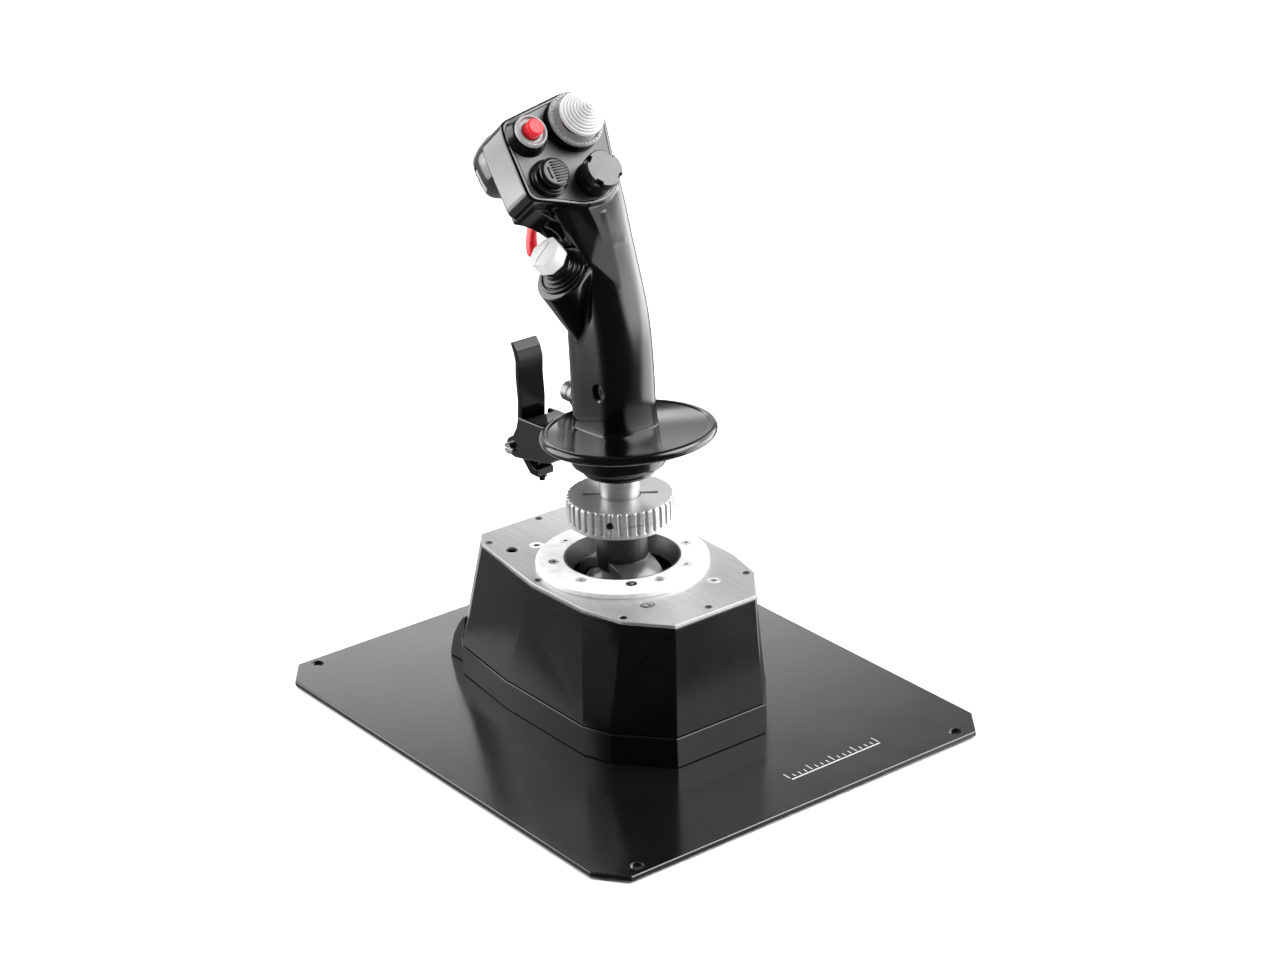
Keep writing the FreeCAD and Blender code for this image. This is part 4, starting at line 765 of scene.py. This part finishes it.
def dial_ticks():
    """Plain graduations round the trim dial."""
    ticks = []
    for k in range(36):
        length = 1.2 if k % 3 == 0 else 0.6
        place = TRIM @ Matrix.Rotation(2 * math.pi * k / 36, 4, "Z")
        ticks.append(prism("tick", [(15.4 - length, -0.2), (15.4, -0.2), (15.4, 0.2), (15.4 - length, 0.2)],
                           8.0, 8.2, place))
    piece = merge("trim_dial_ticks", ticks)
    paint(piece, "pad_rubber")
    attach(piece, "stick")


dial_ticks()

# ---------------------------------------------------------------- rounded machined and moulded parts
for edged_node, edge_width in (("bezel_ring", 0.3), ("opening_lip", 0.4), ("gimbal_frame", 0.4),
                               ("pitch_yoke", 0.4), ("paddle_bracket", 0.8), ("paddle_lever", 0.6)):
    edged(edged_node, edge_width)


def stick_post():
    """The painted post; its dome and the parts below it are bare metal."""
    dome_top, post_edge = 93.5, 15.0
    post = edged("stick_post", 0.4)
    post.data.materials.append(MATS["gimbal_metal"])
    for polygon in post.data.polygons:
        middle = polygon.center
        if middle.z < dome_top * MM or math.hypot(middle.x, middle.y) > post_edge * MM:
            polygon.material_index = 1


stick_post()


def lock_nut():
    """The fluted nut: broad lands between narrow grooves, two spanner slots and a grub screw hole."""
    count, steps = 38, 12
    levels = [(117, -0.6, 0), (117.5, 0, 0), (119.3, 0, 0), (119.9, 0, 1), (131.0, 0, 1), (131.7, -0.2, 1),
              (132.3, -0.9, 0.6)]
    outer = []
    for level, grow, share in levels:
        ring = []
        for k in range(count * steps):
            across = abs((k % steps) / steps - 0.5) * 2
            groove = max(0.0, 1 - (across / 0.36) ** 2) ** 0.6 if across < 0.36 else 0.0
            radius, angle = 30.6 + grow - 1.15 * share * groove, math.tau * k / (count * steps)
            ring.append((radius * math.cos(angle), radius * math.sin(angle), level))
        outer.append(ring)

    bore = [(11.9, 132.3), (11.7, 132.1), (11.7, 129.3), (14.55, 129.3), (14.55, 117)]
    bm = bmesh.new()
    rings = outer + [circle_in(UPRIGHT, radius, level, count * steps) for radius, level in bore]
    rows = [[bm.verts.new(Vector(point) * MM) for point in ring] for ring in rings]
    stitch(bm, rows + rows[:1])
    bmesh.ops.recalc_face_normals(bm, faces=bm.faces)
    turn = Matrix.Rotation(math.radians(-37), 4, "Z")
    slots = [prism("spanner_slot", [(low, -1.4), (high, -1.4), (high, 1.4), (low, 1.4)], 129.9, 134, turn)
             for low, high in ((10, 21), (-21, -10))]
    hole = rod("grub_room", 2.2, 25, 34, turn_to((0, 0, 125.4), (-0.75, -0.66, 0)), 32)
    return install(smooth(carve(from_bmesh("lock_nut_turned", bm), *slots, hole), 30), "lock_nut")


lock_nut()


def plate_mark():
    """A plain painted rule with graduations near the pilot's edge."""
    place = lift(UPRIGHT, 40, -137, 4.5)
    bars = [prism("bar", [(-32, -0.5), (32, -0.5), (32, 0.5), (-32, 0.5)], -0.02, 0.03, place)]
    for k in range(17):
        x, length = -32 + 4 * k, 6 if k % 4 == 0 else 3
        low, high = 1.5, 1.5 + length
        bars.append(prism("bar", [(x - 0.3, low), (x + 0.3, low), (x + 0.3, high), (x - 0.3, high)],
                          -0.02, 0.03, place))
    piece = merge("plate_graduations", bars)
    paint(piece, "cap_white")
    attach(piece, "base")


plate_mark()


def ring_hole_painted_shade():
    """A black disc in the bezel ring's one open hole: painted shade that makes the hole read deeper."""
    angle, screw_circle, top_surface = math.radians(-6), 38.9, 90.0
    place = lift(UPRIGHT, screw_circle * math.sin(angle), -screw_circle * math.cos(angle), top_surface)
    piece = lathe("ring_hole_painted_shade", [(0, 0), (3.3, 0), (3.3, 0.8), (0, 0.8)], place, 48)
    # The black paint here is painted shade for the depth of the hole.
    paint(piece, "post_paint")
    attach(piece, "base")


ring_hole_painted_shade()

# ---------------------------------------------------------------- camera, light and floor
CAMERA_PLACE = (-0.9624, -1.3004, 0.8412)
CAMERA_LENS, SENSOR_WIDTH = 88.8, 36
CAMERA_ROLL = math.radians(-1.96)
BACK = Vector((-0.551, -0.734, 0.398))
RIGHT = Vector((0.7995, -0.6007, 0))
UP = Vector((0.239, 0.318, 0.9175))
right_axis = RIGHT * math.cos(CAMERA_ROLL) + UP * math.sin(CAMERA_ROLL)
up_axis = UP * math.cos(CAMERA_ROLL) - RIGHT * math.sin(CAMERA_ROLL)
camera_data = bpy.data.cameras.new("view_camera")
camera_data.lens, camera_data.sensor_width = CAMERA_LENS, SENSOR_WIDTH
camera = new_object("view_camera", camera_data)
camera_turn = Matrix((right_axis, up_axis, BACK)).transposed().to_4x4()
camera.matrix_world = Matrix.Translation(CAMERA_PLACE) @ camera_turn
bpy.context.scene.camera = camera

bm = bmesh.new()
bmesh.ops.create_grid(bm, x_segments=2, y_segments=2, size=9.0)
floor = from_bmesh("floor", bm)
floor_shader = Shader("floor_paper", (0.93, 0.93, 0.93), 0.9, specular=0.1)
floor.data.materials.append(floor_shader.tone(3, 0.01).done())
floor.visible_glossy = False
floor.visible_shadow = False


def area_light(name, position, target, size, energy):
    data = bpy.data.lights.new(name, "AREA")
    data.shape, data.size, data.size_y, data.energy = "RECTANGLE", size[0], size[1], energy
    obj = new_object(name, data)
    obj.location = position
    obj.rotation_euler = (Vector(target) - Vector(position)).to_track_quat("-Z", "Y").to_euler()
    return obj


sun_data = bpy.data.lights.new("overhead_fill", "SUN")
sun_data.energy, sun_data.angle = 3.0, math.radians(70)
sun = new_object("overhead_fill", sun_data)
sun.rotation_euler = (math.radians(-12), math.radians(-10), 0)
sun.visible_glossy = False
boxes = [area_light("left_box", (-0.55, 0.62, 0.42), (0, 0, 0.2), (0.75, 0.84), 8),
         area_light("low_box", (-0.54, 0.72, 0.01), (-0.54, 0.72, 1.0), (0.42, 0.42), 1.6),
         area_light("right_box", (0.72, -0.12, 0.42), (0, 0, 0.2), (0.85, 0.84), 2)]
for light in boxes:
    light.visible_camera = False

world = bpy.data.worlds.new("studio")
bpy.context.scene.world = world
world.use_nodes = True
tree = world.node_tree
direction = tree.nodes.new("ShaderNodeTexCoord").outputs["Generated"]


def facing(toward, start, stop, low, high):
    """World brightness that changes with the direction's angle from another one."""
    dot = tree.nodes.new("ShaderNodeVectorMath")
    dot.operation = "DOT_PRODUCT"
    dot.inputs[1].default_value = Vector(toward).normalized()
    tree.links.new(direction, dot.inputs[0])
    ramp = tree.nodes.new("ShaderNodeMapRange")
    ramp.interpolation_type = "SMOOTHSTEP"
    tree.links.new(dot.outputs["Value"], ramp.inputs["Value"])
    for socket, number in (("From Min", start), ("From Max", stop), ("To Min", low), ("To Max", high)):
        ramp.inputs[socket].default_value = number
    return ramp.outputs[0]


def combine(operation, *values):
    """Several brightnesses multiplied or added, one after another."""
    result = values[0]
    for value in values[1:]:
        item = tree.nodes.new("ShaderNodeMath")
        item.operation = operation
        tree.links.new(result, item.inputs[0])
        tree.links.new(value, item.inputs[1])
        result = item.outputs[0]
    return result


def height(start, stop, low, high):
    """World brightness that changes with elevation, between two sines of it."""
    return facing((0, 0, 1), start, stop, low, high)


def sine(degrees):
    return math.sin(math.radians(degrees))


# A bright wall behind, dark above an edge, and soft patches that the glossy paint mirrors.
back_wall = combine("MULTIPLY", facing((0.42, 0.9, 0), 0.84, 0.888, 0.0, 2.9),
                    height(sine(26.8), sine(27.9), 1.0, 0.015), height(sine(17), sine(23), 0.14, 1.0))
ambient = combine("MULTIPLY", facing((-0.6, -0.8, 0), 0.1, 0.6, 0.35, 0.05), height(0.40, 0.55, 1.0, 0.35))
key_patch = combine("MULTIPLY", facing((0.55, -0.54, 0.63), 0.86, 0.95, 0.0, 7.0),
                    height(0.30, 0.44, 0.0, 1.0))
low_key = combine("MULTIPLY", facing((0.88, -0.40, 0.22), 0.69, 0.80, 0.0, 3.6),
                  height(-0.30, -0.02, 0.0, 1.0), height(0.12, 0.24, 1.0, 0.35))
right_patch = facing((0.86, -0.26, -0.38), 0.86, 0.95, 0.0, 3.2)
strength = combine("ADD", ambient, back_wall, key_patch, right_patch, low_key)

# Seen directly, the backdrop is plain white.
tree.nodes["Background"].inputs[0].default_value = (1, 1, 1, 1)
backdrop = tree.nodes.new("ShaderNodeMix")
backdrop.inputs["B"].default_value = 1.0
tree.links.new(tree.nodes.new("ShaderNodeLightPath").outputs["Is Camera Ray"], backdrop.inputs["Factor"])
tree.links.new(strength, backdrop.inputs["A"])
tree.links.new(backdrop.outputs["Result"], tree.nodes["Background"].inputs[1])
bpy.context.scene.view_settings.view_transform = "Standard"
